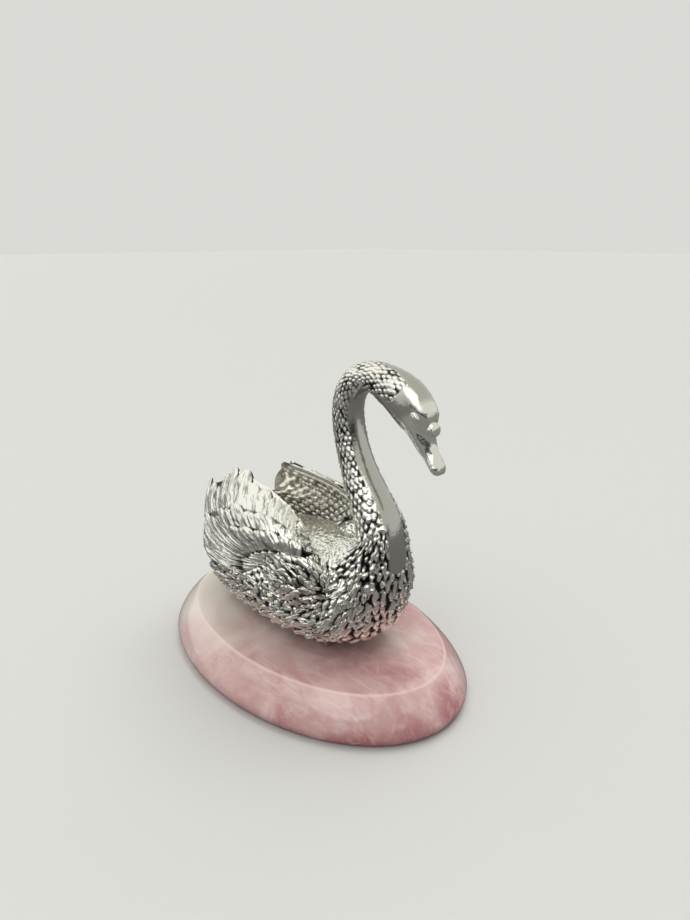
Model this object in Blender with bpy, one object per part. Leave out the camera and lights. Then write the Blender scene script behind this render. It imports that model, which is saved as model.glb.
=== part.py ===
"""Swan figurine: a plated casting of a swan with arched wings, set by a square pad on an oval stone base.

Metres, +Z up. The origin is the centre of the base's underside, and the swan faces +X.
"""

import math

import bmesh
import bpy
import numpy as np
from mathutils import Matrix, Vector

MM = 0.001

# Stone base: an oval with a flat top, a bulging side and a rounded foot
BASE_LENGTH = 130.0 * MM
BASE_WIDTH = 85.6 * MM
BASE_HEIGHT = 14.0 * MM
BASE_TOP_INSET = 8.2 * MM
BASE_SIDE_BULGE = 1.5 * MM
BASE_FOOT_HEIGHT = 3.6 * MM
BASE_FOOT_INSET = 2.6 * MM
BASE_EDGE_RADIUS = 1.2 * MM
BASE_SIDES = 40

# Square pad between the stone and the belly
PAD_LENGTH = 28.0 * MM
PAD_WIDTH = 22.0 * MM
PAD_THICKNESS = 2.2 * MM
PAD_FRONT_X = 21.0 * MM
PAD_CORNER_RADIUS = 0.6 * MM
JOINT_GAP = 0.3 * MM
SEAT_Z = BASE_HEIGHT + PAD_THICKNESS + 2 * JOINT_GAP

# Body, from the chest to the tip of the tail
CHEST_X = 43.6 * MM
BODY_LENGTH = 98.6 * MM
BODY_WIDTH = 47.0 * MM
BODY_DEPTH = 31.0 * MM

# Neck: it rises from the chest, leans back and arches forward
NECK_ROOT_X = 36.0 * MM
NECK_ROOT_RISE = 11.0 * MM
NECK_ROOT_DEPTH = 16.6 * MM
NECK_ROOT_WIDTH = 17.0 * MM
NECK_ROOT_SLOPE = math.radians(57.0)
NECK_ARCH_X = 31.5 * MM
NECK_ARCH_RISE = 47.9 * MM
NECK_ARCH_RADIUS = 11.7 * MM
NECK_DEPTH = 10.2 * MM
NECK_WIDTH = 9.9 * MM
NECK_SWEEP = 14.0 * MM
CREST_DEPTH = 9.2 * MM
NAPE_TURN = math.radians(62.0)

# Head and bill: the middle line runs back to front along the crown, then down the face
CROWN_LENGTH = 9.6 * MM
CROWN_DIP = math.radians(16.0)
FACE_LENGTH = 8.4 * MM
FACE_DIP = math.radians(55.0)
HEAD_DEPTH = 13.5 * MM
HEAD_WIDTH = 11.6 * MM
BROW_DIP = math.radians(49.0)
BILL_LENGTH = 10.0 * MM
BILL_DEPTH = 5.8 * MM
BILL_WIDTH = 6.4 * MM
BILL_DIP = math.radians(53.0)
BILL_AHEAD = 5.2 * MM
BILL_DROP = 3.4 * MM
KNOB_DIAMETER = 4.0 * MM
KNOB_LENGTH = 5.6 * MM
KNOB_AHEAD = 2.4 * MM
KNOB_LIFT = 1.2 * MM
KNOB_TURN = math.radians(98.0)
EYE_LENGTH = 3.5 * MM
EYE_HEIGHT = 2.4 * MM
EYE_BULGE = 0.9 * MM
EYE_BACK = 1.0 * MM
EYE_LIFT = 1.9 * MM

# Wings: two curved shells of long feathers, which stand out from the body's sides and rise over its back
WING_STAND_OUT = 1.0 * MM
WING_RISE = 19.0 * MM
LEFT_REAR_DROP = 9.0 * MM
LEFT_TOP_DROP = 2.0 * MM
WING_ROOT_SINK = 4.0 * MM
WING_THICKNESS = 2.6 * MM
WING_TIP_THICKNESS = 1.3 * MM
WING_FEATHERS = 12
WING_RIDGE = 0.9 * MM
COVERT_STEP = 0.9 * MM
INNER_SCALLOP = 0.4 * MM
FLANK_FILL = 5.0 * MM

# Relief of the small feathers, and the smooth strip down the front of the neck
SCALE_RELIEF = 0.75 * MM
COLUMNS = 34
STRIP_HALF_ANGLE = math.radians(36.0)
STRIP_END = 0.52

METAL = (0.80, 0.80, 0.74, 1.0)
STONE = (0.72, 0.47, 0.47, 1.0)


def mix(start, end, share):
    """Point or number a share of the way from start to end."""
    return start + (end - start) * share


def heading(angle):
    """Unit vector in the middle plane, at an angle from +X towards +Z."""
    return np.array([math.cos(angle), math.sin(angle)])


def smooth_path(keys, values, at):
    """Read a smooth curve through values, set at rising keys, at the places in at."""
    keys = np.asarray(keys, float)
    values = np.asarray(values, float).reshape(len(keys), -1)
    step = np.diff(keys)[:, None]
    slope = np.diff(values, axis=0) / step
    tangent = np.vstack([slope[:1], np.zeros_like(slope[1:]), slope[-1:]])
    tangent[1:-1] = (slope[:-1] * step[1:] + slope[1:] * step[:-1]) / (step[1:] + step[:-1])
    at = np.asarray(at, float)
    i = np.clip(np.searchsorted(keys, at, side="right") - 1, 0, len(keys) - 2)
    h = step[i]
    t = (at[:, None] - keys[i][:, None]) / h
    return (
        (2 * t**3 - 3 * t**2 + 1) * values[i]
        + (t**3 - 2 * t**2 + t) * h * tangent[i]
        + (3 * t**2 - 2 * t**3) * values[i + 1]
        + (t**3 - t**2) * h * tangent[i + 1]
    )


def material(name, colour, roughness, metallic):
    """Plain Principled BSDF material."""
    made = bpy.data.materials.new(name)
    made.use_nodes = True
    shader = made.node_tree.nodes["Principled BSDF"]
    shader.inputs["Base Color"].default_value = colour
    shader.inputs["Roughness"].default_value = roughness
    shader.inputs["Metallic"].default_value = metallic
    return made


def add_object(name, bm, finish=None, smooth_angle=None):
    """Turn a bmesh into a named object, and return it."""
    bmesh.ops.recalc_face_normals(bm, faces=bm.faces[:])
    mesh = bpy.data.meshes.new(name)
    bm.to_mesh(mesh)
    bm.free()
    if smooth_angle is not None:
        mesh.shade_smooth()
        mesh.set_sharp_from_angle(angle=smooth_angle)
    if finish is not None:
        mesh.materials.append(finish)
    made = bpy.data.objects.new(name, mesh)
    bpy.context.collection.objects.link(made)
    return made


def as_cutter(tool):
    """Keep a shape that only serves a Boolean out of the model."""
    tool.hide_render = True
    tool.display_type = "WIRE"
    return tool


# The stone base


def base_profile():
    """Inset from the outline and height, from the foot to the edge of the flat top."""
    foot = [
        (BASE_FOOT_INSET * (1 - math.sin(turn)), BASE_FOOT_HEIGHT * (1 - math.cos(turn)))
        for turn in np.linspace(0, math.pi / 2, 3)
    ]
    side = []
    edge_share = 1 - BASE_EDGE_RADIUS / (BASE_HEIGHT - BASE_FOOT_HEIGHT)
    for share in np.linspace(0, edge_share, 6)[1:]:
        inset = BASE_TOP_INSET * share - 4 * BASE_SIDE_BULGE * share * (1 - share)
        side.append((max(inset, 0.0), mix(BASE_FOOT_HEIGHT, BASE_HEIGHT, share)))
    edge = [
        (
            side[-1][0] + BASE_EDGE_RADIUS * (1 - math.cos(turn)),
            side[-1][1] + BASE_EDGE_RADIUS * math.sin(turn),
        )
        for turn in np.linspace(0, math.pi / 2, 4)[1:]
    ]
    return foot + side + edge


def build_base(finish):
    """Oval stone: its outline is extruded up the profile, ring by ring, and closed with a flat top."""
    bm = bmesh.new()
    bmesh.ops.create_circle(bm, cap_ends=True, segments=BASE_SIDES, radius=1.0)
    ring = bm.verts[:]
    edges = bm.edges[:]
    outline = {v: v.co.copy() for v in ring}

    def place(verts, inset, height):
        for v in verts:
            v.co.x = outline[v].x * (BASE_LENGTH / 2 - inset)
            v.co.y = outline[v].y * (BASE_WIDTH / 2 - inset)
            v.co.z = height

    profile = base_profile()
    place(ring, *profile[0])
    for inset, height in profile[1:]:
        unit = {tuple(round(c, 9) for c in v.co): outline[v] for v in ring}
        grown = bmesh.ops.extrude_edge_only(bm, edges=edges)["geom"]
        ring = [g for g in grown if isinstance(g, bmesh.types.BMVert)]
        edges = [g for g in grown if isinstance(g, bmesh.types.BMEdge)]
        outline = {v: unit[tuple(round(c, 9) for c in v.co)] for v in ring}
        place(ring, inset, height)
    bmesh.ops.contextual_create(bm, geom=edges)
    return add_object("stone_base", bm, finish, math.radians(35))


def build_pad(finish):
    """Square plate with rounded upright corners, under the belly."""
    bm = bmesh.new()
    centre = Vector((PAD_FRONT_X - PAD_LENGTH / 2, 0, BASE_HEIGHT + JOINT_GAP + PAD_THICKNESS / 2))
    size = Matrix.Diagonal((PAD_LENGTH, PAD_WIDTH, PAD_THICKNESS, 1))
    bmesh.ops.create_cube(bm, size=1.0, matrix=Matrix.Translation(centre) @ size)
    upright = [e for e in bm.edges if abs(e.verts[0].co.z - e.verts[1].co.z) > PAD_THICKNESS / 2]
    bmesh.ops.bevel(
        bm,
        geom=upright,
        offset=PAD_CORNER_RADIUS,
        segments=3,
        profile=0.5,
        affect="EDGES",
        material=-1,
    )
    return add_object("mounting_pad", bm, finish, math.radians(35))


# The skin of the body, neck and head


def station(centre, dip, depth, width, rings, relief=1.0, fullness=2.0):
    """Ring square to the swan's middle line, which dips by an angle below +X towards the bill.

    The front point lies on the throat's side and the back point on the crown's.
    """
    crown = heading(math.pi / 2 - dip)
    front = centre - crown * depth / 2
    back = centre + crown * depth / 2
    return (*front, *back, width / 2, fullness, relief, rings)


def arch_centre():
    """Centre of the neck's arch."""
    return np.array([NECK_ARCH_X, SEAT_Z + BODY_DEPTH + NECK_ARCH_RISE])


def on_arch(turn):
    """Point of the neck's middle line on its arch, and the dip there."""
    return arch_centre() + heading(turn) * NECK_ARCH_RADIUS, math.pi / 2 - turn


def head_line(share):
    """Point of the head's middle line, from the nape at 0 to the brow at 1."""
    nape, _ = on_arch(NAPE_TURN)
    bend = nape + heading(-CROWN_DIP) * CROWN_LENGTH
    brow = bend + heading(-FACE_DIP) * FACE_LENGTH
    left = 1 - share
    return left * left * nape + 2 * left * share * bend + share * share * brow


def brow_frame():
    """Middle of the brow, and the directions down the face and square to it."""
    return head_line(1.0), heading(-BROW_DIP), heading(math.pi / 2 - BROW_DIP)


def head_stations():
    """Rings from the tip of the bill to the nape."""
    brow, along, lift = brow_frame()
    bill_root = brow + along * BILL_AHEAD - lift * BILL_DROP
    tip = bill_root + heading(-BILL_DIP) * BILL_LENGTH
    # share of the bill, depth, width, rings
    bill = (
        (1.00, 0.22, 0.34, 2),
        (0.90, 0.50, 0.74, 2),
        (0.72, 0.64, 0.90, 2),
        (0.40, 0.78, 0.88, 2),
        (0.05, 1.00, 1.00, 2),
    )
    rings = [
        station(mix(bill_root, tip, share), BILL_DIP, BILL_DEPTH * depth, BILL_WIDTH * width, count, 0.0)
        for share, depth, width, count in bill
    ]
    # share of the head's line, depth, width, relief, rings
    skull = (
        (1.00, 0.81, 0.79, 0.0, 2),
        (0.82, 0.94, 0.93, 0.0, 2),
        (0.60, 1.00, 1.00, 0.1, 2),
        (0.40, 0.98, 1.00, 0.4, 2),
        (0.20, 0.92, 0.96, 0.8, 2),
        (0.00, 0.83, 0.89, 1.0, 3),
    )
    for share, depth, width, relief, count in skull:
        dip = mix(CROWN_DIP, BROW_DIP, share)
        rings.append(station(head_line(share), dip, HEAD_DEPTH * depth, HEAD_WIDTH * width, count, relief))
    return rings


def neck_stations():
    """Rings down the arch and the S-curve of the neck to its root on the chest."""
    rings = []
    for turn, growth in ((92, 0.0), (122, 0.35), (152, 0.8)):
        centre, dip = on_arch(math.radians(turn))
        rings.append(station(centre, dip, mix(CREST_DEPTH, NECK_DEPTH, growth), NECK_WIDTH, 4))
    top_turn = math.radians(184)
    top, _ = on_arch(top_turn)
    root = np.array([NECK_ROOT_X, SEAT_Z + BODY_DEPTH + NECK_ROOT_RISE])
    top_pull = top + heading(top_turn + math.pi / 2) * NECK_SWEEP
    root_pull = root - heading(-NECK_ROOT_SLOPE) * NECK_SWEEP
    for share in (0.0, 0.2, 0.4, 0.6, 0.8, 1.0):
        left = 1 - share
        curve = (left**3, 3 * left**2 * share, 3 * left * share**2, share**3)
        points = (top, top_pull, root_pull, root)
        centre = sum(weight * point for weight, point in zip(curve, points))
        run = (
            3 * left**2 * (top_pull - top)
            + 6 * left * share * (root_pull - top_pull)
            + 3 * share**2 * (root - root_pull)
        )
        dip = math.pi - math.atan2(run[1], run[0])
        growth = share**2.2
        depth = mix(NECK_DEPTH, NECK_ROOT_DEPTH, growth)
        width = mix(NECK_WIDTH, NECK_ROOT_WIDTH, growth)
        rings.append(station(centre, dip, depth, width, 5))
    return rings


def body_stations():
    """Rings from the chest to the tip of the tail, as shares of the body's length, depth and width."""
    # front point back and up, back point back and up, width, fullness, rings
    table = (
        (0.000, 1.20, 0.235, 1.09, 0.49, 2.0, 4),
        (-0.006, 0.88, 0.295, 1.02, 0.64, 2.0, 4),
        (0.006, 0.56, 0.340, 0.99, 0.77, 2.0, 4),
        (0.047, 0.22, 0.376, 0.98, 0.87, 2.1, 4),
        (0.140, 0.04, 0.410, 0.97, 0.95, 2.3, 4),
        (0.330, -0.03, 0.480, 0.96, 1.00, 2.6, 4),
        (0.500, -0.03, 0.575, 0.94, 1.00, 2.6, 4),
        (0.635, -0.02, 0.660, 0.90, 0.97, 2.5, 4),
        (0.750, 0.00, 0.755, 0.82, 0.90, 2.4, 4),
        (0.845, 0.05, 0.850, 0.72, 0.78, 2.3, 3),
        (0.915, 0.17, 0.915, 0.64, 0.58, 2.2, 3),
        (0.965, 0.36, 0.965, 0.60, 0.38, 2.1, 2),
        (1.000, 0.50, 1.000, 0.56, 0.24, 2.0, 1),
    )
    rings = []
    for front_back, front_up, back_back, back_up, width, fullness, count in table:
        front = (CHEST_X - front_back * BODY_LENGTH, SEAT_Z + front_up * BODY_DEPTH)
        back = (CHEST_X - back_back * BODY_LENGTH, SEAT_Z + back_up * BODY_DEPTH)
        rings.append((*front, *back, width * BODY_WIDTH / 2, fullness, 1.0, count))
    return rings


def skin_rings():
    """Every ring of the skin, read from a smooth path through the stations."""
    stations = head_stations() + neck_stations() + body_stations()
    keys = [0]
    for row in stations[:-1]:
        keys.append(keys[-1] + row[-1])
    return smooth_path(keys, [row[:-1] for row in stations], np.arange(keys[-1] + 1))


def front_strip(angle, along):
    """1 on feathers and 0 on the smooth strip that runs down the front of the neck."""
    away = abs((angle + math.pi) % (2 * math.pi) - math.pi)
    width = STRIP_HALF_ANGLE if along < STRIP_END else 0.0
    return 1.0 if away > width else 0.0


def feather_height(ring, column):
    """Height of the small feathers, each two columns wide and two rings long, in staggered rows."""
    row = ring // 2
    on_rib = (column + row) % 2 == 0
    at_tip = ring % 2 == 1
    if at_tip:
        return 1.0 if on_rib else -0.4
    return 0.1 if on_rib else 0.4


def build_skin(finish):
    """Body, neck, head and bill: a sphere's rings and columns laid on the stations."""
    rings = skin_rings()
    count = len(rings)
    bm = bmesh.new()
    bmesh.ops.create_uvsphere(bm, u_segments=COLUMNS, v_segments=count + 1, radius=1.0)
    places = {}
    for v in bm.verts:
        ring = round(math.acos(max(-1.0, min(1.0, v.co.z))) / math.pi * (count + 1)) - 1
        column = round(math.atan2(v.co.y, v.co.x) / (2 * math.pi) * COLUMNS) % COLUMNS
        places[v] = (ring, column)
    for v, (ring, column) in places.items():
        if ring in (-1, count):
            fx, fz, bx, bz = rings[0 if ring < 0 else count - 1][:4]
            inner = rings[1 if ring < 0 else count - 2][:4]
            middle = np.array([fx + bx, fz + bz]) / 2
            outward = middle - np.array([inner[0] + inner[2], inner[1] + inner[3]]) / 2
            tip = middle + outward * 0.5
            v.co = (tip[0], 0.0, tip[1])
            continue
        fx, fz, bx, bz, half_width, fullness, _ = rings[ring]
        angle = 2 * math.pi * column / COLUMNS
        power = 2 / fullness
        out = math.copysign(abs(math.cos(angle)) ** power, math.cos(angle))
        side = math.copysign(abs(math.sin(angle)) ** power, math.sin(angle))
        v.co = (
            (fx + bx) / 2 + (fx - bx) / 2 * out,
            half_width * side,
            (fz + bz) / 2 + (fz - bz) / 2 * out,
        )
    bmesh.ops.recalc_face_normals(bm, faces=bm.faces[:])
    bm.normal_update()
    shift = {}
    for v, (ring, column) in places.items():
        if 0 <= ring < count:
            relief = rings[ring][6] * front_strip(2 * math.pi * column / COLUMNS, ring / count)
            size = mix(0.45, 1.0, min(1.0, rings[ring][4] / (BODY_WIDTH / 2)))
            shift[v] = v.normal * SCALE_RELIEF * relief * size * feather_height(ring, column)
    for v, move in shift.items():
        v.co += move
    for v in bm.verts:
        v.co.z = max(v.co.z, SEAT_Z)
    return add_object("swan", bm, finish, math.radians(50))


def build_knob():
    """Short stub over the root of the bill, pointing forward."""
    brow, along, lift = brow_frame()
    centre = brow + along * KNOB_AHEAD + lift * KNOB_LIFT
    bm = bmesh.new()
    bmesh.ops.create_uvsphere(bm, u_segments=10, v_segments=8, radius=1.0)
    for v in bm.verts:
        v.co.z = max(-0.5, min(0.5, v.co.z * 0.62))
    size = Matrix.Diagonal((KNOB_DIAMETER / 2, KNOB_DIAMETER / 2, KNOB_LENGTH, 1))
    turn = Matrix.Rotation(KNOB_TURN, 4, "Y")
    place = Matrix.Translation((centre[0], 0, centre[1]))
    bmesh.ops.transform(bm, matrix=place @ turn @ size, verts=bm.verts[:])
    return as_cutter(add_object("knob", bm))


def build_eye(side):
    """Almond-shaped eye, standing a little proud of the cheek."""
    brow, along, lift = brow_frame()
    centre = brow - along * EYE_BACK + lift * EYE_LIFT
    size = Matrix.Diagonal((EYE_LENGTH / 2, EYE_BULGE, EYE_HEIGHT / 2, 1))
    turn = Matrix.Rotation(BROW_DIP, 4, "Y")
    place = Matrix.Translation((centre[0], side * HEAD_WIDTH * 0.37, centre[1]))
    bm = bmesh.new()
    bmesh.ops.create_uvsphere(bm, u_segments=10, v_segments=6, radius=1.0)
    bmesh.ops.transform(bm, matrix=place @ turn @ size, verts=bm.verts[:])
    return as_cutter(add_object(f"eye_{'left' if side > 0 else 'right'}", bm))


# The wings


def wing_place(shares):
    """Point from shares of the body's length from the chest, of half the wings' span, and of their height."""
    back, out, up = shares
    half_span = BODY_WIDTH / 2 + WING_STAND_OUT
    return (CHEST_X - back * BODY_LENGTH, out * half_span, SEAT_Z + up * (BODY_DEPTH + WING_RISE))


def ramp(start, stop, value):
    """0 at start and 1 at stop, straight between them."""
    return min(1.0, max(0.0, (value - start) / (stop - start)))


def wing_curve(across, side):
    """Root, control and tip of the feather curve at a share of the wing, from the front to the lower rear.

    The curve is a quadratic Bezier, and each of its points is (x, y, z) on the left of the swan.
    The rear feathers of the left wing lie lower than those of the right one.
    """
    # share of the wing, root
    roots = (
        (0.00, (0.219, 0.755, 0.650)),
        (0.25, (0.290, 0.796, 0.620)),
        (0.50, (0.351, 0.796, 0.552)),
        (0.75, (0.391, 0.837, 0.472)),
        (1.00, (0.391, 0.837, 0.392)),
    )
    # share of the wing, control point, tip
    blades = (
        (0.00, (0.260, 0.816, 0.740), (0.280, 0.490, 0.690)),
        (0.15, (0.351, 0.980, 0.770), (0.402, 0.449, 0.890)),
        (0.30, (0.483, 1.102, 0.750), (0.554, 0.449, 0.980)),
        (0.42, (0.635, 1.184, 0.630), (0.716, 0.408, 1.006)),
        (0.55, (0.746, 1.143, 0.540), (0.858, 0.327, 0.880)),
        (0.66, (0.817, 1.102, 0.460), (0.990, 0.245, 0.770)),
        (0.80, (0.848, 1.102, 0.360), (0.980, 0.327, 0.620)),
        (0.92, (0.848, 1.061, 0.300), (0.959, 0.449, 0.460)),
        (1.00, (0.817, 1.061, 0.260), (0.919, 0.612, 0.340)),
    )
    root = smooth_path([row[0] for row in roots], [wing_place(row[1]) for row in roots], [across])[0]
    shares = [row[0] for row in blades]
    control = smooth_path(shares, [wing_place(row[1]) for row in blades], [across])[0]
    tip = smooth_path(shares, [wing_place(row[2]) for row in blades], [across])[0]
    if side > 0:
        tip[2] -= LEFT_REAR_DROP * ramp(0.46, 0.52, across) * ramp(1.0, 0.7, across)
        tip[2] -= LEFT_TOP_DROP * ramp(0.15, 0.30, across) * (across < 0.47)
    return root, control, tip


def wing_point(across, along, side):
    """Point of the wing's outer surface before its relief."""
    root, control, tip = wing_curve(across, side)
    left = 1 - along
    return left * left * root + 2 * left * along * control + along * along * tip


def feather_tip(share):
    """How far along a column runs: a feather is longest a little past its middle."""
    return 1.0 - 0.09 * (2 * share - 1.1) ** 2


def build_wing(side):
    """One wing: a grid along the feathers, extruded to a shell and laid on the feathers' curves."""
    rows = (0.0, 0.12, 0.24, 0.34, 0.37, 0.47, 0.57, 0.60, 0.74, 0.89, 1.0)
    short_coverts, long_coverts = 0.35, 0.58
    shares = (0.04, 0.50, 0.96)
    columns = [(feather, share) for feather in range(WING_FEATHERS) for share in shares]
    lines, steps = len(columns), len(rows)
    bm = bmesh.new()
    bmesh.ops.create_grid(bm, x_segments=lines - 1, y_segments=steps - 1, size=0.5)
    inner = set(bm.verts)
    bmesh.ops.extrude_face_region(bm, geom=bm.faces[:], use_keep_orig=True)
    bm.verts.ensure_lookup_table()
    for v in bm.verts:
        line = round((v.co.x + 0.5) * (lines - 1))
        step = round((v.co.y + 0.5) * (steps - 1))
        feather, share = columns[line]
        across = (feather + share) / WING_FEATHERS
        along = rows[step] * feather_tip(share)
        point = wing_point(across, along, side)
        nudge = 0.01
        run = wing_point(across, min(1.0, along + nudge), side)
        run = run - wing_point(across, max(0.0, along - nudge), side)
        sweep = wing_point(min(1.0, across + nudge), along, side)
        sweep = sweep - wing_point(max(0.0, across - nudge), along, side)
        normal = np.cross(sweep, run)
        normal /= np.linalg.norm(normal)
        if normal[1] < 0:
            normal = -normal
        ridge = WING_RIDGE * (share - 0.5) * ramp(0.0, 0.3, along)
        layers = (rows[step] < short_coverts) + (rows[step] < long_coverts)
        covert = COVERT_STEP * (layers - 1)
        on_flank = ramp(0.60, 0.80, across) * ramp(1.1, 0.7, along)
        thickness = mix(WING_THICKNESS, WING_TIP_THICKNESS, along) + FLANK_FILL * on_flank
        if v in inner:
            scallop = INNER_SCALLOP * ((line + step) % 2) * (1 - on_flank)
            point = point - normal * (thickness + scallop)
        else:
            point = point + normal * (ridge + covert)
        point[1] -= WING_ROOT_SINK * ramp(0.25, 0.0, along)
        v.co = (point[0], side * point[1], point[2])
    bmesh.ops.recalc_face_normals(bm, faces=bm.faces[:])
    return as_cutter(add_object(f"wing_{'left' if side > 0 else 'right'}", bm))


def unite(body, tools):
    """Cast the added shapes and the body as one closed piece."""
    for tool in tools:
        union = body.modifiers.new(f"with_{tool.name}", "BOOLEAN")
        union.operation = "UNION"
        union.solver = "EXACT"
        union.object = tool


def main():
    """Build the base, the pad and the swan."""
    for old in list(bpy.data.objects):
        bpy.data.objects.remove(old, do_unlink=True)
    plating = material("silver_plating", METAL, 0.22, 1.0)
    quartz = material("rose_quartz", STONE, 0.25, 0.0)
    build_base(quartz)
    build_pad(plating)
    swan = build_skin(plating)
    unite(swan, [build_wing(1), build_wing(-1), build_knob(), build_eye(1), build_eye(-1)])


main()
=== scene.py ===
"""Looks of the swan figurine: bright plated feathers, a polished head, and an oval of rose quartz.

Metres, +Z up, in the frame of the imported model. The swan faces +X, and its left is +Y.
"""

import logging
import math
from dataclasses import dataclass, field
from enum import Enum

import bmesh
import bpy
import numpy as np
from mathutils import Matrix, Vector

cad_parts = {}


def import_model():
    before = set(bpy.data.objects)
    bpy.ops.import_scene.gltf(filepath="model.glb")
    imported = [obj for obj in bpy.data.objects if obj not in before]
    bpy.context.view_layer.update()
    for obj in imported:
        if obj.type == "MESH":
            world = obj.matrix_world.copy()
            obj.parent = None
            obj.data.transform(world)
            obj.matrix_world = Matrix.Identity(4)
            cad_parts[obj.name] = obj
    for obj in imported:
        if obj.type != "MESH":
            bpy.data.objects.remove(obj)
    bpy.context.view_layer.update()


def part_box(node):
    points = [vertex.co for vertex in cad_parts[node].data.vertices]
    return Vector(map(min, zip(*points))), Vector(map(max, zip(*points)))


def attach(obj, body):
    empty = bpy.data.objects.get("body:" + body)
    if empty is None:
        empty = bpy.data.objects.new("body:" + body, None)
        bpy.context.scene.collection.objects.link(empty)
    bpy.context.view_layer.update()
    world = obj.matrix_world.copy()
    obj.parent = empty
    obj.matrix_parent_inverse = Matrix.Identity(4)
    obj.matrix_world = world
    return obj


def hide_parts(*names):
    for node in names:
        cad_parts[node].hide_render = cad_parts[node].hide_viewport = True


LOG = logging.getLogger("swan_figurine")
MM = 0.001
BODY = "root"


class Side(Enum):
    """Which side of the swan a part is on, as the sign of Y."""

    LEFT = 1
    RIGHT = -1


class Slot(Enum):
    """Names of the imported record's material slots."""

    STONE = "rose_quartz"
    SILVER = "silver_plating"


# Small tools


def mix(start: float, end: float, share: float) -> float:
    """Number or array a share of the way from start to end."""
    return start + (end - start) * share


def ease(low: float, high: float, value: np.ndarray) -> np.ndarray:
    """Smooth step from 0 at low to 1 at high."""
    share = np.clip((np.asarray(value, float) - low) / (high - low), 0.0, 1.0)
    return share * share * (3 - 2 * share)


def heading(angle: float) -> np.ndarray:
    """Unit vector in the middle plane, at an angle from +X towards +Z."""
    return np.array([math.cos(angle), math.sin(angle)])


def smooth_path(keys: list, values: list, at: np.ndarray) -> np.ndarray:
    """Read a smooth curve through values, set at rising keys.

    Args:
        keys: Places of the values.
        values: One row for each key.
        at: Places to read, in any shape.

    Returns:
        The rows at those places, with the shape of at and then of a row.
    """
    keys = np.asarray(keys, float)
    values = np.asarray(values, float).reshape(len(keys), -1)
    step = np.diff(keys)[:, None]
    slope = np.diff(values, axis=0) / step
    tangent = np.vstack([slope[:1], np.zeros_like(slope[1:]), slope[-1:]])
    tangent[1:-1] = (slope[:-1] * step[1:] + slope[1:] * step[:-1]) / (step[1:] + step[:-1])
    at = np.asarray(at, float)
    flat = at.reshape(-1)
    i = np.clip(np.searchsorted(keys, flat, side="right") - 1, 0, len(keys) - 2)
    h = step[i]
    t = (flat[:, None] - keys[i][:, None]) / h
    rows = (
        (2 * t**3 - 3 * t**2 + 1) * values[i]
        + (t**3 - 2 * t**2 + t) * h * tangent[i]
        + (3 * t**2 - 2 * t**3) * values[i + 1]
        + (t**3 - t**2) * h * tangent[i + 1]
    )
    return rows.reshape(*at.shape, -1)


def cloud(points: np.ndarray, cell: float, seed: int) -> np.ndarray:
    """Smooth random values from -1 to 1 over space.

    Args:
        points: Places, with three numbers each.
        cell: Size of one blob, in metres.
        seed: Which pattern.

    Returns:
        One value for each place.
    """
    table = np.random.default_rng(seed).uniform(-1, 1, 4096)
    place = np.asarray(points, float) / cell + 1000.0
    whole = np.floor(place).astype(np.int64)
    part = place - whole
    part = part * part * (3 - 2 * part)
    total = np.zeros(place.shape[:-1])
    for corner in range(8):
        bits = np.array([corner & 1, corner >> 1 & 1, corner >> 2 & 1])
        cell_at = whole + bits
        index = (cell_at[..., 0] * 73 + cell_at[..., 1] * 1093 + cell_at[..., 2] * 2801) % 4096
        weight = np.prod(np.where(bits, part, 1 - part), axis=-1)
        total += weight * table[index]
    return total


def blurred(rows: np.ndarray, spread: float) -> np.ndarray:
    """Rows blended with their neighbours.

    Args:
        rows: Values, one row for each place.
        spread: How far the blend reaches, in rows.

    Returns:
        As many rows.
    """
    reach = int(3 * spread)
    weights = np.exp(-((np.arange(-reach, reach + 1) / spread) ** 2) / 2)
    weights /= weights.sum()
    padded = np.pad(rows, ((reach, reach), (0, 0)), mode="edge")
    return np.stack([np.convolve(column, weights, mode="valid") for column in padded.T], axis=1)


def unit_length(vectors: np.ndarray) -> np.ndarray:
    """Vectors scaled to a length of 1, along the last axis."""
    return vectors / np.maximum(np.linalg.norm(vectors, axis=-1, keepdims=True), 1e-12)


def ring_normals(points: np.ndarray) -> np.ndarray:
    """Unit normals of a grid of points, in rings whose last column meets the first."""
    across = (np.roll(points, -1, axis=1) - np.roll(points, 1, axis=1)) / 2
    return unit_length(np.cross(np.gradient(points, axis=0), across))


def to_mesh(name: str, bm: bmesh.types.BMesh) -> bpy.types.Mesh:
    """Turn a bmesh into a mesh, and free it.

    Args:
        name: Name of the mesh.
        bm: The bmesh.

    Returns:
        The mesh.
    """
    mesh = bpy.data.meshes.new(name)
    bm.to_mesh(mesh)
    bm.free()
    return mesh


def add_piece(mesh: bpy.types.Mesh, finish: bpy.types.Material) -> bpy.types.Object:
    """Link a finished mesh as a piece that rides on the figurine, with the mesh's name.

    Args:
        mesh: Mesh, in place.
        finish: Its material.

    Returns:
        The new object.
    """
    mesh.materials.append(finish)
    mesh.shade_smooth()
    piece = bpy.data.objects.new(mesh.name, mesh)
    bpy.context.collection.objects.link(piece)
    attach(piece, BODY)
    LOG.info("%s: %d faces", mesh.name, len(mesh.polygons))
    return piece


def add_silver(mesh: bpy.types.Mesh, finish: bpy.types.Material, sharp_from: float = 0.0) -> None:
    """Add a piece that is shown in the cast swan's place.

    Args:
        mesh: Mesh, in place.
        finish: Its material.
        sharp_from: Angle in degrees from which its edges are sharp, or 0 where none is.
    """
    piece = add_piece(mesh, finish)
    if sharp_from:
        mesh.set_sharp_from_angle(angle=math.radians(sharp_from))
    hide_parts("swan")


def face_outward(mesh: bpy.types.Mesh) -> None:
    """Turn a closed mesh's faces outward.

    Args:
        mesh: Mesh that is changed.
    """
    bm = bmesh.new()
    bm.from_mesh(mesh)
    bmesh.ops.recalc_face_normals(bm, faces=bm.faces[:])
    bm.to_mesh(mesh)
    bm.free()


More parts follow.
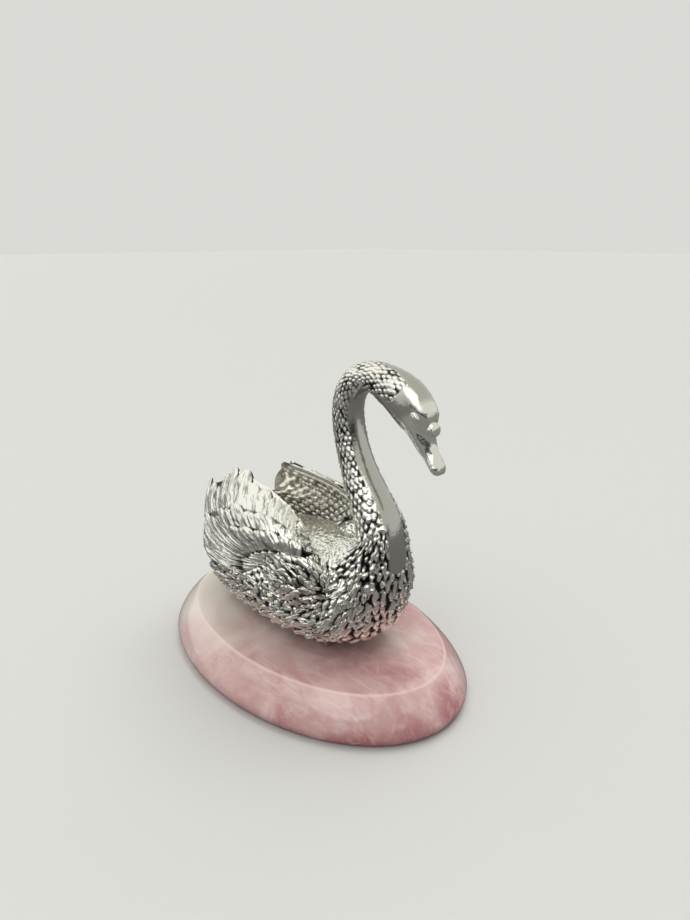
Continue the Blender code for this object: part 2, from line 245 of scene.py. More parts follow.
def read_points(mesh: bpy.types.Mesh) -> np.ndarray:
    """Points of a mesh as rows of x, y and z.

    Args:
        mesh: Mesh that is read.

    Returns:
        One row for each point.
    """
    flat = np.empty(len(mesh.vertices) * 3, np.float32)
    mesh.vertices.foreach_get("co", flat)
    return flat.reshape(-1, 3).astype(float)


def write_points(mesh: bpy.types.Mesh, points: np.ndarray) -> None:
    """Move a mesh's points to rows of x, y and z, and turn its faces outward."""
    mesh.vertices.foreach_set("co", points.astype(np.float32).reshape(-1))
    face_outward(mesh)


def set_painted_shade(mesh: bpy.types.Mesh, values: np.ndarray) -> None:
    """Store each point's painted shade as a brightness in the relief attribute, for the finish to read: low
    in recesses, gaps and undersides.
    """
    layer = mesh.attributes.new("relief", "FLOAT", "POINT")
    layer.data.foreach_set("value", np.ascontiguousarray(values, np.float32))


def set_flow(mesh: bpy.types.Mesh, values: np.ndarray) -> None:
    """Store each point's place across and along its feather, in millimetres, for the finish to read."""
    layer = mesh.attributes.new("flow", "FLOAT_VECTOR", "POINT")
    layer.data.foreach_set("vector", np.ascontiguousarray(values, np.float32).reshape(-1))


# Feathers as relief


@dataclass(frozen=True)
class Plumage:
    """Rows of overlapping feathers, read as a height over a surface's own coordinates."""

    columns: int
    length: float = 1.7
    width: float = 0.54
    point: float = 0.5
    barbs: float = 0.05
    unevenness: float = 0.2
    tilt: float = 0.18
    rows: int = 240
    seed: int = 5

    def height(self, flow: np.ndarray, across: np.ndarray) -> np.ndarray:
        """Height of the topmost feather, from 0 in a gap to about 1 at a tip.

        Args:
            flow: Place from the feathers' roots to their tips, in rows.
            across: Place across the rows, in feathers.

        Returns:
            The height at each place.
        """
        rng = np.random.default_rng(self.seed)
        chance = rng.uniform(-1, 1, (4, self.rows + 8, self.columns))
        best = np.zeros(np.broadcast(flow, across).shape)
        for back in (0, 1, 2):
            row = np.floor(flow).astype(int) - back
            shifted = across + 0.5 * (row % 2)
            for beside in (-1, 0, 1):
                column = np.floor(shifted).astype(int) + beside
                picks = (np.clip(row + 4, 0, self.rows + 7), column % self.columns)
                reach = self.length * (1 + self.unevenness * chance[0][picks])
                along = (flow - row) / reach
                lean = self.unevenness * chance[1][picks] * along
                off = shifted - column - 0.5 + lean
                oval = np.sqrt(np.clip(1 - ((along - 0.35) / 0.66) ** 2, 0, 1))
                half = self.width * oval ** (2 * self.point)
                inside = (along >= 0) & (along <= 1) & (np.abs(off) < half)
                bend = np.abs(off) / np.maximum(half, 1e-6)
                rise = 0.04 + 0.92 * np.clip(along, 0, 1) ** 1.3
                rise = rise * (1 + 0.6 * self.unevenness * chance[2][picks])
                dome = 1 - 0.8 * bend**2 + self.tilt * chance[3][picks] * off / self.width
                shaft = 0.08 * np.exp(-((off / 0.07) ** 2)) * (along > 0.2)
                stripes = self.barbs * np.sin(2 * np.pi * (2.5 * bend - 5.0 * along))
                tip = np.sqrt(np.clip(1 - along**5, 0, 1))
                value = (rise * dome + shaft + stripes) * mix(0.5, 1.0, tip)
                best = np.where(inside, np.maximum(best, value), best)
        return best


# Finishes


@dataclass(frozen=True)
class NodePen:
    """Short way to add and join shader nodes in one tree."""

    tree: bpy.types.NodeTree

    def add(self, kind: str, **settings: object) -> bpy.types.Node:
        """Add a node of a kind and set its properties.

        Args:
            kind: Kind of node.
            settings: Its properties.

        Returns:
            The node.
        """
        node = self.tree.nodes.new(kind)
        for name, value in settings.items():
            setattr(node, name, value)
        return node

    def join(self, source: bpy.types.NodeSocket, target: bpy.types.NodeSocket) -> None:
        """Link an output to an input."""
        self.tree.links.new(source, target)

    def feed(self, target: bpy.types.NodeSocket, value: object) -> None:
        """Give an input its value, which is another socket or a plain one.

        Args:
            target: The input.
            value: What it gets.
        """
        if isinstance(value, bpy.types.NodeSocket):
            self.join(value, target)
        else:
            target.default_value = value

    def ramp(self, source: bpy.types.NodeSocket, stops: tuple) -> bpy.types.NodeSocket:
        """Colour ramp through stops of place and colour.

        Args:
            source: Value that the ramp reads.
            stops: Pairs of a place and a colour.

        Returns:
            The ramp's colour output.
        """
        node = self.add("ShaderNodeValToRGB")
        elements = node.color_ramp.elements
        while len(elements) < len(stops):
            elements.new(0.5)
        for element, (place, colour) in zip(elements, stops):
            element.position = place
            element.color = (*colour, 1.0)
        self.join(source, node.inputs["Fac"])
        return node.outputs["Color"]

    def noise(self, vector: bpy.types.NodeSocket, scale: float, detail: float = 4.0) -> bpy.types.Node:
        """Noise texture on a vector.

        Args:
            vector: Place that the pattern reads.
            scale: Its fineness.
            detail: How many finer layers it has.

        Returns:
            The node.
        """
        node = self.add("ShaderNodeTexNoise")
        node.inputs["Scale"].default_value = scale
        node.inputs["Detail"].default_value = detail
        self.join(vector, node.inputs["Vector"])
        return node

    def mix_colour(
        self,
        share: object,
        first: object,
        second: object,
        blend: str = "MIX",
    ) -> bpy.types.NodeSocket:
        """Blend two colours, each a socket or a plain colour.

        Args:
            share: How much of the second shows, as a socket or a number.
            first: Colour below.
            second: Colour above.
            blend: Kind of blend.

        Returns:
            The blended colour.
        """
        node = self.add("ShaderNodeMix", data_type="RGBA", blend_type=blend)
        self.feed(node.inputs[0], share)
        for socket, value in ((node.inputs[6], first), (node.inputs[7], second)):
            plain = not isinstance(value, bpy.types.NodeSocket)
            self.feed(socket, (*value, 1.0) if plain else value)
        return node.outputs[2]

    def bump(self, height: bpy.types.NodeSocket, strength: float, distance: float) -> bpy.types.Node:
        """Bump node that bends the normal by a height.

        Args:
            height: Height that it reads.
            strength: Share of the bend that shows.
            distance: Height in metres of a value of 1.

        Returns:
            The node.
        """
        node = self.add("ShaderNodeBump")
        node.inputs["Strength"].default_value = strength
        node.inputs["Distance"].default_value = distance
        self.join(height, node.inputs["Height"])
        return node

    def spread(
        self,
        value: bpy.types.NodeSocket,
        low: float,
        high: float,
        top: float = 1.0,
        curve: str = "LINEAR",
    ) -> bpy.types.NodeSocket:
        """Share that runs from 0 where a value is low to its top where the value is high.

        Args:
            value: Value that is read.
            low: Value at which the share is 0.
            high: Value at which it is full.
            top: The full share.
            curve: Kind of curve between them.

        Returns:
            Socket with the share.
        """
        node = self.add("ShaderNodeMapRange", interpolation_type=curve)
        node.inputs["From Min"].default_value = low
        node.inputs["From Max"].default_value = high
        node.inputs["To Max"].default_value = top
        self.join(value, node.inputs["Value"])
        return node.outputs["Result"]

    def maths(self, operation: str, first: bpy.types.NodeSocket, *others: object) -> bpy.types.NodeSocket:
        """Maths node on sockets and plain numbers.

        Args:
            operation: What it works out.
            first: Its first value.
            others: Its other values, each a socket or a number.

        Returns:
            Socket with the result.
        """
        node = self.add("ShaderNodeMath", operation=operation)
        self.join(first, node.inputs[0])
        for socket, value in zip(node.inputs[1:], others):
            self.feed(socket, value)
        return node.outputs["Value"]


def new_material(name: str) -> tuple:
    """Empty material with a Principled shader.

    Args:
        name: Name of the material.

    Returns:
        The material, its pen and its Principled node.
    """
    made = bpy.data.materials.new(name)
    made.use_nodes = True
    pen = NodePen(made.node_tree)
    return made, pen, made.node_tree.nodes["Principled BSDF"]


def speckle_group() -> bpy.types.NodeTree:
    """Fine cast grain, as a node group with a scale that it reads and a grain that it gives.

    Returns:
        The group.
    """
    group = bpy.data.node_groups.new("cast_grain", "ShaderNodeTree")
    face = group.interface
    face.new_socket("Scale", in_out="INPUT", socket_type="NodeSocketFloat")
    face.new_socket("Grain", in_out="OUTPUT", socket_type="NodeSocketFloat")
    pen = NodePen(group)
    inward = pen.add("NodeGroupInput")
    outward = pen.add("NodeGroupOutput")
    place = pen.add("ShaderNodeTexCoord")
    noise = pen.noise(place.outputs["Object"], 900.0, 5.0)
    pen.join(inward.outputs["Scale"], noise.inputs["Scale"])
    pen.join(noise.outputs["Fac"], outward.inputs["Grain"])
    return group


@dataclass(frozen=True)
class SilverFinish:
    """Bright plating with painted shade and a painted dark reddish reflection in its recesses, read from
    the relief attribute.
    """

    name: str
    top: tuple = (0.95, 0.94, 0.88)
    # Colour of the painted shade in recesses, tinted as a painted dark reddish reflection.
    painted_shade_colour: tuple = (0.030, 0.016, 0.020)
    dark_until: float = 0.12
    bright_from: float = 0.40
    roughness: float = 0.15
    grain: float = 900.0
    grain_depth: float = 0.16 * MM
    streak_depth: float = 0.0
    streak_shade: float = 0.34

    def build(self, grain_group: bpy.types.NodeTree) -> bpy.types.Material:
        """Make the material.

        Args:
            grain_group: Shared grain pattern.

        Returns:
            The material.
        """
        made, pen, shader = new_material(self.name)
        # The relief attribute holds painted shade: low values darken recesses, gaps and undersides, high
        # values stay bright.
        relief = pen.add("ShaderNodeAttribute", attribute_name="relief")
        middle = tuple(mix(low, high, 0.45) for low, high in zip(self.painted_shade_colour, self.top))
        stops = (
            (self.dark_until, self.painted_shade_colour),
            ((self.dark_until + self.bright_from) / 2, middle),
            (self.bright_from, self.top),
        )
        colour = pen.ramp(relief.outputs["Fac"], stops)
        grain = pen.add("ShaderNodeGroup", node_tree=grain_group)
        grain.inputs["Scale"].default_value = self.grain
        bent = pen.bump(grain.outputs["Grain"], 0.5, self.grain_depth)
        if self.streak_depth > 0:
            streaks = self.build_streaks(pen)
            # The fine lines are darkened in their low grooves, as painted shade.
            low = (self.streak_shade,) * 3
            shade = pen.ramp(streaks, ((0.36, low), (0.50, (1, 1, 1))))
            colour = pen.mix_colour(1.0, colour, shade, "MULTIPLY")
            grained = bent
            bent = pen.bump(streaks, 0.9, self.streak_depth)
            pen.join(grained.outputs["Normal"], bent.inputs["Normal"])
        pen.join(colour, shader.inputs["Base Color"])
        pen.join(bent.outputs["Normal"], shader.inputs["Normal"])
        shader.inputs["Metallic"].default_value = 1.0
        shader.inputs["Roughness"].default_value = self.roughness
        return made

    def build_streaks(self, pen: NodePen) -> bpy.types.NodeSocket:
        """Fine lines that run along each feather, from its own flow.

        Args:
            pen: Pen of the material.

        Returns:
            Socket with the lines.
        """
        flow = pen.add("ShaderNodeAttribute", attribute_name="flow")
        stretch = pen.add("ShaderNodeMapping")
        stretch.inputs["Scale"].default_value = (1.5, 0.13, 1.0)
        pen.join(flow.outputs["Vector"], stretch.inputs["Vector"])
        lines = pen.noise(stretch.outputs["Vector"], 1.0, 3.0)
        lines.inputs["Roughness"].default_value = 0.62
        return lines.outputs["Fac"]


@dataclass(frozen=True)
class PadFinish:
    """Duller plate between the stone and the belly."""

    name: str = "pad_plate"
    colour: tuple = (0.50, 0.48, 0.42)

    def build(self, grain_group: bpy.types.NodeTree) -> bpy.types.Material:
        """Make the material.

        Args:
            grain_group: Shared grain pattern.

        Returns:
            The material.
        """
        made, pen, shader = new_material(self.name)
        grain = pen.add("ShaderNodeGroup", node_tree=grain_group)
        grain.inputs["Scale"].default_value = 400.0
        darker = tuple(0.6 * part for part in self.colour)
        pen.join(
            pen.ramp(grain.outputs["Grain"], ((0.35, darker), (0.65, self.colour))),
            shader.inputs["Base Color"],
        )
        shader.inputs["Metallic"].default_value = 1.0
        shader.inputs["Roughness"].default_value = 0.34
        return made


@dataclass(frozen=True)
class QuartzFinish:
    """Polished rose quartz: cloudy pink, milky at one end, with soft wisps."""

    name: str = "rose_quartz"
    milk: tuple = (0.73, 0.66, 0.61)
    pink: tuple = (0.60, 0.39, 0.385)
    rose: tuple = (0.40, 0.155, 0.17)
    wisp: tuple = (0.76, 0.62, 0.60)
    height: float = 14.0 * MM
    pink_between: tuple = (-45.0 * MM, 20.0 * MM)
    line_depth: float = 0.9 * MM
    line_share: float = 0.45

    def build(self) -> bpy.types.Material:
        """Make the material.

        Returns:
            The material.
        """
        made, pen, shader = new_material(self.name)
        place = pen.add("ShaderNodeTexCoord").outputs["Object"]
        split = pen.add("ShaderNodeSeparateXYZ")
        pen.join(place, split.inputs["Vector"])
        pinkness = self.pinkness(pen, place, split)
        colour = pen.ramp(pinkness, ((0.0, self.milk), (0.50, self.pink), (1.0, self.rose)))
        patches = pen.noise(place, 60.0, 5.0)
        patches.inputs["Distortion"].default_value = 0.8
        patch_share = pen.ramp(patches.outputs["Fac"], ((0.50, (0, 0, 0)), (0.75, (0.55, 0.55, 0.55))))
        colour = pen.mix_colour(patch_share, colour, self.wisp)
        for turn, scale in ((0.9, 1.0), (-0.7, 0.7), (2.2, 1.4)):
            colour = self.wisps(pen, place, colour, turn, scale)
        # Painted highlight: a paler line along the top edge.
        colour = pen.mix_colour(self.painted_edge_highlight(pen, split), colour, self.wisp)
        pen.join(colour, shader.inputs["Base Color"])
        shader.inputs["Roughness"].default_value = 0.14
        shader.inputs["Subsurface Weight"].default_value = 0.40
        shader.inputs["Subsurface Radius"].default_value = (1.0, 0.50, 0.45)
        shader.inputs["Subsurface Scale"].default_value = 5 * MM
        shader.inputs["Coat Weight"].default_value = 0.7
        shader.inputs["Coat Roughness"].default_value = 0.04
        return made

    def painted_edge_highlight(self, pen: NodePen, split: bpy.types.Node) -> bpy.types.NodeSocket:
        """Share of the painted highlight, a paler line along the top edge.

        Args:
            pen: Pen of the material.
            split: Node with the parts of the object coordinates.

        Returns:
            Socket with the share.
        """
        near_top = pen.spread(split.outputs["Z"], self.height - self.line_depth, self.height)
        pale = (self.line_share,) * 3
        return pen.ramp(near_top, ((0.30, (0, 0, 0)), (0.65, pale), (0.85, pale), (0.99, (0, 0, 0))))

    def pinkness(
        self,
        pen: NodePen,
        place: bpy.types.NodeSocket,
        split: bpy.types.Node,
    ) -> bpy.types.NodeSocket:
        """How pink each place is: least at the rear end and most low at the front, with soft clouds.

        Args:
            pen: Pen of the material.
            place: Object coordinates.
            split: Node with their parts.

        Returns:
            Socket with the share.
        """
        lengthwise = pen.spread(split.outputs["X"], *self.pink_between, 0.60)
        lower = pen.spread(split.outputs["Z"], self.height, 0.0, 0.45)
        clouds = pen.noise(place, 32.0, 5.0)
        clouds.inputs["Distortion"].default_value = 1.0
        cloudy = pen.maths("MULTIPLY_ADD", clouds.outputs["Fac"], 1.3, -0.72)
        return pen.maths("ADD", pen.maths("ADD", lengthwise, lower), cloudy)

    def wisps(
        self,
        pen: NodePen,
        place: bpy.types.NodeSocket,
        below: bpy.types.NodeSocket,
        turn: float,
        scale: float,
    ) -> bpy.types.NodeSocket:
        """Soft pale wisps that lean one way through the stone.

        Args:
            pen: Pen of the material.
            place: Object coordinates.
            below: Colour under the wisps.
            turn: Heading of the wisps, in radians.
            scale: Size of the pattern.

        Returns:
            The colour with the wisps.
        """
        stretch = pen.add("ShaderNodeMapping")
        stretch.inputs["Rotation"].default_value = (0.5, 0.4, turn)
        stretch.inputs["Scale"].default_value = (60.0 * scale, 210.0 * scale, 150.0 * scale)
        pen.join(place, stretch.inputs["Vector"])
        wisp = pen.noise(stretch.outputs["Vector"], 1.0, 4.0)
        wisp.inputs["Distortion"].default_value = 1.5
        share = pen.ramp(wisp.outputs["Fac"], ((0.56, (0, 0, 0)), (0.80, (0.50, 0.50, 0.50))))
        return pen.mix_colour(share, below, self.wisp)


# The swan's skin


@dataclass
class SwanForm:
    """Sizes of the swan's body, neck and head, and the smooth surface that they give."""

    seat: float
    chest_x: float = 43.6 * MM
    body_length: float = 98.6 * MM
    body_width: float = 47.0 * MM
    body_depth: float = 31.0 * MM
    neck_root_x: float = 36.0 * MM
    neck_root_rise: float = 11.0 * MM
    neck_root_depth: float = 16.6 * MM
    neck_root_width: float = 17.0 * MM
    neck_root_slope: float = math.radians(57.0)
    neck_arch_x: float = 31.5 * MM
    neck_arch_rise: float = 47.9 * MM
    neck_arch_radius: float = 11.7 * MM
    neck_depth: float = 10.2 * MM
    neck_width: float = 9.9 * MM
    neck_sweep: float = 14.0 * MM
    crest_depth: float = 9.2 * MM
    nape_turn: float = math.radians(62)
    crown_length: float = 9.6 * MM
    crown_dip: float = math.radians(16.0)
    face_length: float = 8.4 * MM
    face_dip: float = math.radians(55.0)
    head_depth: float = 13.5 * MM
    head_width: float = 11.6 * MM
    brow_dip: float = math.radians(49.0)
    bill_length: float = 9.2 * MM
    bill_depth: float = 5.8 * MM
    bill_width: float = 6.4 * MM
    bill_dip: float = math.radians(53.0)
    bill_ahead: float = 5.5 * MM
    bill_drop: float = 2.3 * MM
    keys: list = field(default_factory=list)
    rows: list = field(default_factory=list)
    marks: dict = field(default_factory=dict)

    def __post_init__(self) -> None:
        """Lay out the stations once."""
        groups = {"head": self.head_stations(), "neck": self.neck_stations(), "body": self.body_stations()}
        place = 0.0
        for name, rows in groups.items():
            self.marks[name] = place
            for row in rows:
                self.keys.append(place)
                self.rows.append(row[:-1])
                place += row[-1]
        self.marks["end"] = self.keys[-1]
        self.soften()

    def soften(self) -> None:
        """Blend the stations into each other below the head, so that no ring shows as a crease."""
        fine = np.arange(0.0, self.marks["end"] + 0.125, 0.25)
        rows = smooth_path(self.keys, self.rows, fine)
        end = ease(self.marks["end"] - 1, self.marks["end"] - 6, fine)
        rows = mix(rows, blurred(rows, 6.5), (ease(20, 26, fine) * end)[:, None])
        chest = ease(48, 55, fine) * ease(80, 72, fine)
        rows[:, :2] = mix(rows[:, :2], blurred(rows[:, :2], 13.0), chest[:, None])
        self.keys = list(fine)
        self.rows = list(rows)

    def station(self, centre: np.ndarray, dip: float, depth: float, width: float, gap: float) -> tuple:
        """Ring square to the middle line, as front and back point, half width, fullness and gap."""
        crown = heading(math.pi / 2 - dip)
        return (*(centre - crown * depth / 2), *(centre + crown * depth / 2), width / 2, 2.0, gap)

    def on_arch(self, turn: float) -> np.ndarray:
        """Point of the neck's middle line on its arch."""
        centre = np.array([self.neck_arch_x, self.seat + self.body_depth + self.neck_arch_rise])
        return centre + heading(turn) * self.neck_arch_radius

    def head_line(self, share: float) -> np.ndarray:
        """Point of the head's middle line, from the nape at 0 to the brow at 1.

        Args:
            share: Share of the way along it.

        Returns:
            The point's x and z.
        """
        nape = self.on_arch(self.nape_turn)
        bend = nape + heading(-self.crown_dip) * self.crown_length
        brow = bend + heading(-self.face_dip) * self.face_length
        left = 1 - share
        return left * left * nape + 2 * left * share * bend + share * share * brow

    def brow_frame(self) -> tuple:
        """Middle of the brow, and the directions down the face and square to it."""
        return self.head_line(1.0), heading(-self.brow_dip), heading(math.pi / 2 - self.brow_dip)

    def head_stations(self) -> list:
        """Rings from the tip of the bill to the nape.

        Returns:
            The rings' stations.
        """
        brow, along, lift = self.brow_frame()
        root = brow + along * self.bill_ahead - lift * self.bill_drop
        tip = root + heading(-self.bill_dip) * self.bill_length
        bill = (
            (1.02, 0.20, 0.42, 1),
            (0.97, 0.34, 0.68, 1),
            (0.86, 0.52, 0.86, 2),
            (0.68, 0.62, 0.90, 2),
            (0.36, 0.78, 0.84, 2),
            (0.05, 1.00, 1.00, 2),
        )
        rings = [
            self.station(
                mix(root, tip, share), self.bill_dip, self.bill_depth * depth, self.bill_width * width, gap
            )
            for share, depth, width, gap in bill
        ]
        skull = (
            (1.00, 0.81, 0.79, 2),
            (0.82, 0.94, 0.93, 2),
            (0.60, 1.00, 1.00, 2),
            (0.40, 0.98, 1.00, 2),
            (0.20, 0.92, 0.96, 2),
            (0.00, 0.83, 0.89, 3),
        )
        for share, depth, width, gap in skull:
            dip = mix(self.crown_dip, self.brow_dip, share)
            size = (self.head_depth * depth, self.head_width * width)
            rings.append(self.station(self.head_line(share), dip, *size, gap))
        return rings

    def neck_stations(self) -> list:
        """Rings down the arch and the S-curve of the neck to its root on the chest.

        Returns:
            The rings' stations.
        """
        rings = []
        for turn, growth in ((92, 0.0), (122, 0.35), (152, 0.8)):
            dip = math.pi / 2 - math.radians(turn)
            depth = mix(self.crest_depth, self.neck_depth, growth)
            rings.append(self.station(self.on_arch(math.radians(turn)), dip, depth, self.neck_width, 4))
        top_turn = math.radians(184)
        top = self.on_arch(top_turn)
        root = np.array([self.neck_root_x, self.seat + self.body_depth + self.neck_root_rise])
        top_pull = top + heading(top_turn + math.pi / 2) * self.neck_sweep
        root_pull = root - heading(-self.neck_root_slope) * self.neck_sweep
        for share in (0.0, 0.2, 0.4, 0.6, 0.8, 1.0):
            left = 1 - share
            centre = left**3 * top + 3 * left**2 * share * top_pull
            centre = centre + 3 * left * share**2 * root_pull + share**3 * root
            run = (
                3 * left**2 * (top_pull - top)
                + 6 * left * share * (root_pull - top_pull)
                + 3 * share**2 * (root - root_pull)
            )
            dip = math.pi - math.atan2(run[1], run[0])
            growth = share**2.2
            depth = mix(self.neck_depth, self.neck_root_depth, growth)
            width = mix(self.neck_width, self.neck_root_width, growth)
            rings.append(self.station(centre, dip, depth, width, 5))
        return rings

    def body_stations(self) -> list:
        """Rings from the chest to the tip of the tail, as shares of the body's sizes.

        Returns:
            The rings' stations.
        """
        table = (
            (0.000, 1.20, 0.235, 1.09, 0.49, 2.0, 4),
            (-0.006, 0.88, 0.295, 1.02, 0.64, 2.0, 4),
            (0.006, 0.56, 0.340, 0.99, 0.77, 2.0, 4),
            (0.047, 0.22, 0.376, 0.98, 0.87, 2.1, 4),
            (0.140, 0.04, 0.410, 0.97, 0.95, 2.3, 4),
            (0.330, -0.03, 0.480, 0.96, 1.00, 2.6, 4),
            (0.500, -0.03, 0.575, 0.94, 1.00, 2.6, 4),
            (0.635, -0.02, 0.660, 0.90, 0.97, 2.5, 4),
            (0.750, 0.00, 0.755, 0.82, 0.90, 2.4, 4),
            (0.845, 0.05, 0.850, 0.72, 0.78, 2.3, 3),
            (0.915, 0.17, 0.915, 0.64, 0.58, 2.2, 3),
            (0.965, 0.36, 0.965, 0.60, 0.38, 2.1, 2),
            (1.000, 0.50, 1.000, 0.56, 0.24, 2.0, 1),
        )
        rings = []
        for front_back, front_up, back_back, back_up, width, fullness, gap in table:
            front = (self.chest_x - front_back * self.body_length, self.seat + front_up * self.body_depth)
            back = (self.chest_x - back_back * self.body_length, self.seat + back_up * self.body_depth)
            rings.append((*front, *back, width * self.body_width / 2, fullness, gap))
        return rings

    def surface(self, ring: np.ndarray, angle: np.ndarray) -> np.ndarray:
        """Points of the smooth surface.

        Args:
            ring: Place along the swan, in stations' rings from the bill.
            angle: Place round the ring, from 0 at the throat or belly, rising towards the left.

        Returns:
            Points with x, y and z.
        """
        row = smooth_path(self.keys, self.rows, ring)
        power = 2 / row[..., 5]
        out = np.sign(np.cos(angle)) * np.abs(np.cos(angle)) ** power
        side = np.sign(np.sin(angle)) * np.abs(np.sin(angle)) ** power
        x = (row[..., 0] + row[..., 2]) / 2 + (row[..., 0] - row[..., 2]) / 2 * out
        z = (row[..., 1] + row[..., 3]) / 2 + (row[..., 1] - row[..., 3]) / 2 * out
        return np.stack([x, row[..., 4] * side, z], axis=-1)


@dataclass
class SwanSkin:
    """The cast skin: feathers over the smooth form, in three closed lengths."""

    form: SwanForm
    neck_feathers: Plumage = Plumage(columns=21, length=1.6, barbs=0.0)
    body_feathers: Plumage = Plumage(columns=38, length=1.4, width=0.52, tilt=0.8, seed=6)
    down: Plumage = Plumage(
        columns=78, length=2.3, width=0.6, barbs=0.0, unevenness=0.45, tilt=0.4, seed=8
    )
    neck_pitch: float = 1.55 * MM
    body_pitch: float = 2.7 * MM
    down_pitch: float = 1.8 * MM
    neck_relief: float = 0.55 * MM
    body_relief: float = 1.30 * MM
    down_relief: float = 0.95 * MM
    strip: tuple = ((-2, 45), (5, 47), (10, 42), (18, 40), (23, 44), (28, 37), (36, 27), (40, 20), (44, 16))
    # Brightness of the polished face and throat strip behind the bill, painted darker as painted shade.
    painted_crown_shade: float = 0.30
    # Painted light that lifts the brightness of the downy back.
    painted_down_light: float = 0.10
    overlap: float = 0.3
    tuck: float = 1.2 * MM

    def rows_at(self, ring: np.ndarray, near: float, far: float) -> np.ndarray:
        """Rows of feathers from the bill to each ring.

        Args:
            ring: Places along the swan.
            near: Length of a row on the neck.
            far: Length of a row on the body.

        Returns:
            Count of rows at each place.
        """
        marks = self.form.marks
        fine = np.linspace(0, marks["end"], 1200)
        side = self.form.surface(fine, np.full_like(fine, math.pi / 2))
        step = np.linalg.norm(np.diff(side, axis=0), axis=1)
        share = ease(marks["neck"] + 12, marks["body"] + 6, fine[1:])
        rows = np.concatenate([[0.0], np.cumsum(step / mix(near, far, share))])
        return np.interp(ring, fine, rows)

    def plain_share(self, ring: np.ndarray, away: np.ndarray) -> np.ndarray:
        """1 on feathers and 0 on the polished face and on the smooth strip down the throat.

        Args:
            ring: Places along the swan.
            away: Angle from the throat's or belly's middle line.

        Returns:
            The share at each place.
        """
        marks = self.form.marks
        nape = marks["neck"] - 2.2
        throat = nape - 2.6 * ease(1.1, 0.7, away)
        face = throat - 5.6 * ease(1.0, 1.6, away) * ease(3.05, 2.6, away)
        share = ease(0.0, 0.5, ring - face)
        bottom = marks["body"] + 2.8
        closing = np.sqrt(np.clip((bottom - ring) / 1.0, 0.0, 1.0))
        opening = ease(nape + 0.3, nape + 1.6, ring)
        places, widths = zip(*self.strip)
        width = np.radians(np.interp(ring - marks["neck"], places, widths)) * closing * opening
        return share * np.where(width > 0, ease(0.0, 0.06, away - width), 1.0)

    def face_shape(self, points: np.ndarray, ring: np.ndarray, angle: np.ndarray) -> np.ndarray:
        """Dents and ridges of the bill and face, as a height along the normal.

        Args:
            points: Places on the smooth surface.
            ring: Their rings.
            angle: Their angles.

        Returns:
            Heights in metres.
        """
        brow, along, lift = self.form.brow_frame()
        away = np.abs((angle + math.pi) % (2 * math.pi) - math.pi)
        mouth = np.exp(-(((away - 1.0) / 0.09) ** 2)) * ease(0.5, 1.5, ring) * ease(12.5, 9.5, ring)
        nostril = np.exp(-(((ring - 6.2) / 0.7) ** 2) - (((away - 2.3) / 0.22) ** 2))
        flat = points[..., [0, 2]]
        beside = ease(1.0 * MM, 2.6 * MM, np.abs(points[..., 1]))

        def blob(ahead: float, up: float, radius: float, long: float = 1.0) -> np.ndarray:
            """Oval patch on the cheek, placed from the brow and stretched along the face.

            Args:
                ahead: Place down the face, in millimetres.
                up: Place square to it, in millimetres.
                radius: Size of the patch, in millimetres.
                long: How far it is stretched.

            Returns:
                The patch's share at each place.
            """
            gap = flat - (brow + along * ahead * MM + lift * up * MM)
            far = np.hypot(gap @ along / long, gap @ lift)
            return np.exp(-((far / (radius * MM)) ** 2)) * beside

        return MM * (
            0.45 * blob(-0.6, 4.1, 1.5, 2.6)
            - 0.75 * blob(-1.4, 2.2, 2.1, 1.3)
            - 0.85 * blob(2.6, 0.4, 1.7, 1.5)
            + 0.35 * blob(-0.4, -1.2, 1.3, 2.6)
            - 0.26 * mouth
            - 0.35 * nostril
        )

    def relief_at(self, points: np.ndarray, ring: np.ndarray, angle: np.ndarray, on_neck: bool) -> tuple:
        """Height of the feathers along the normal, and each place's painted shade as a brightness.

        Args:
            points: Places on the smooth surface.
            ring: Their rings.
            angle: Their angles.
            on_neck: Whether the neck's small feathers are used.

        Returns:
            Heights in metres, and painted shade as brightness from 0 to 1.
        """
        marks = self.form.marks
        away = np.abs((angle + math.pi) % (2 * math.pi) - math.pi)
        feathers = self.neck_feathers if on_neck else self.body_feathers
        turn = angle / (2 * np.pi)
        wander = 0.25 * cloud(points, 7 * MM, 11)
        rows = self.rows_at(ring, self.neck_pitch, self.body_pitch) + wander
        height = feathers.height(rows, turn * feathers.columns + wander)
        grown = ease(marks["neck"] + 18, marks["body"] + 12, ring)
        size = mix(self.neck_relief, self.body_relief, grown)
        rough = mix(0.12, 0.34, grown) * cloud(points, 1.0 * MM, 3) + 0.14 * cloud(points, 2.4 * MM, 4)
        height = np.maximum(height + rough, -0.1)
        downy = np.zeros_like(ring)
        if not on_neck:
            fine_rows = self.rows_at(ring, self.down_pitch, self.down_pitch) + 2 * wander
            down = self.down.height(fine_rows, turn * self.down.columns + 2 * wander)
            down = np.clip(down + 0.35 * cloud(points, 0.8 * MM, 7), 0, 1.2)
            rearward = 0.8 * ease(marks["body"] + 8, marks["body"] + 16, ring)
            back = ease(1.55, 1.95, away - rearward + 0.12 * cloud(points, 3 * MM, 12))
            height = mix(height, 0.36 + 0.75 * down, back)
            size = mix(size, self.down_relief, back)
            # Painted light: the downy back is painted brighter.
            downy = self.painted_down_light * back
        plain = self.plain_share(ring, away)
        # Painted shade: the polished skin behind the bill is painted darker than the bill.
        polished = mix(1.0, self.painted_crown_shade, ease(8, 13, ring))
        # Painted shade: on feathers the brightness follows their height, so the gaps between them are dark.
        bright = mix(polished, np.clip(height + downy, 0, 1), plain)
        return plain * size * (height - 0.42), bright

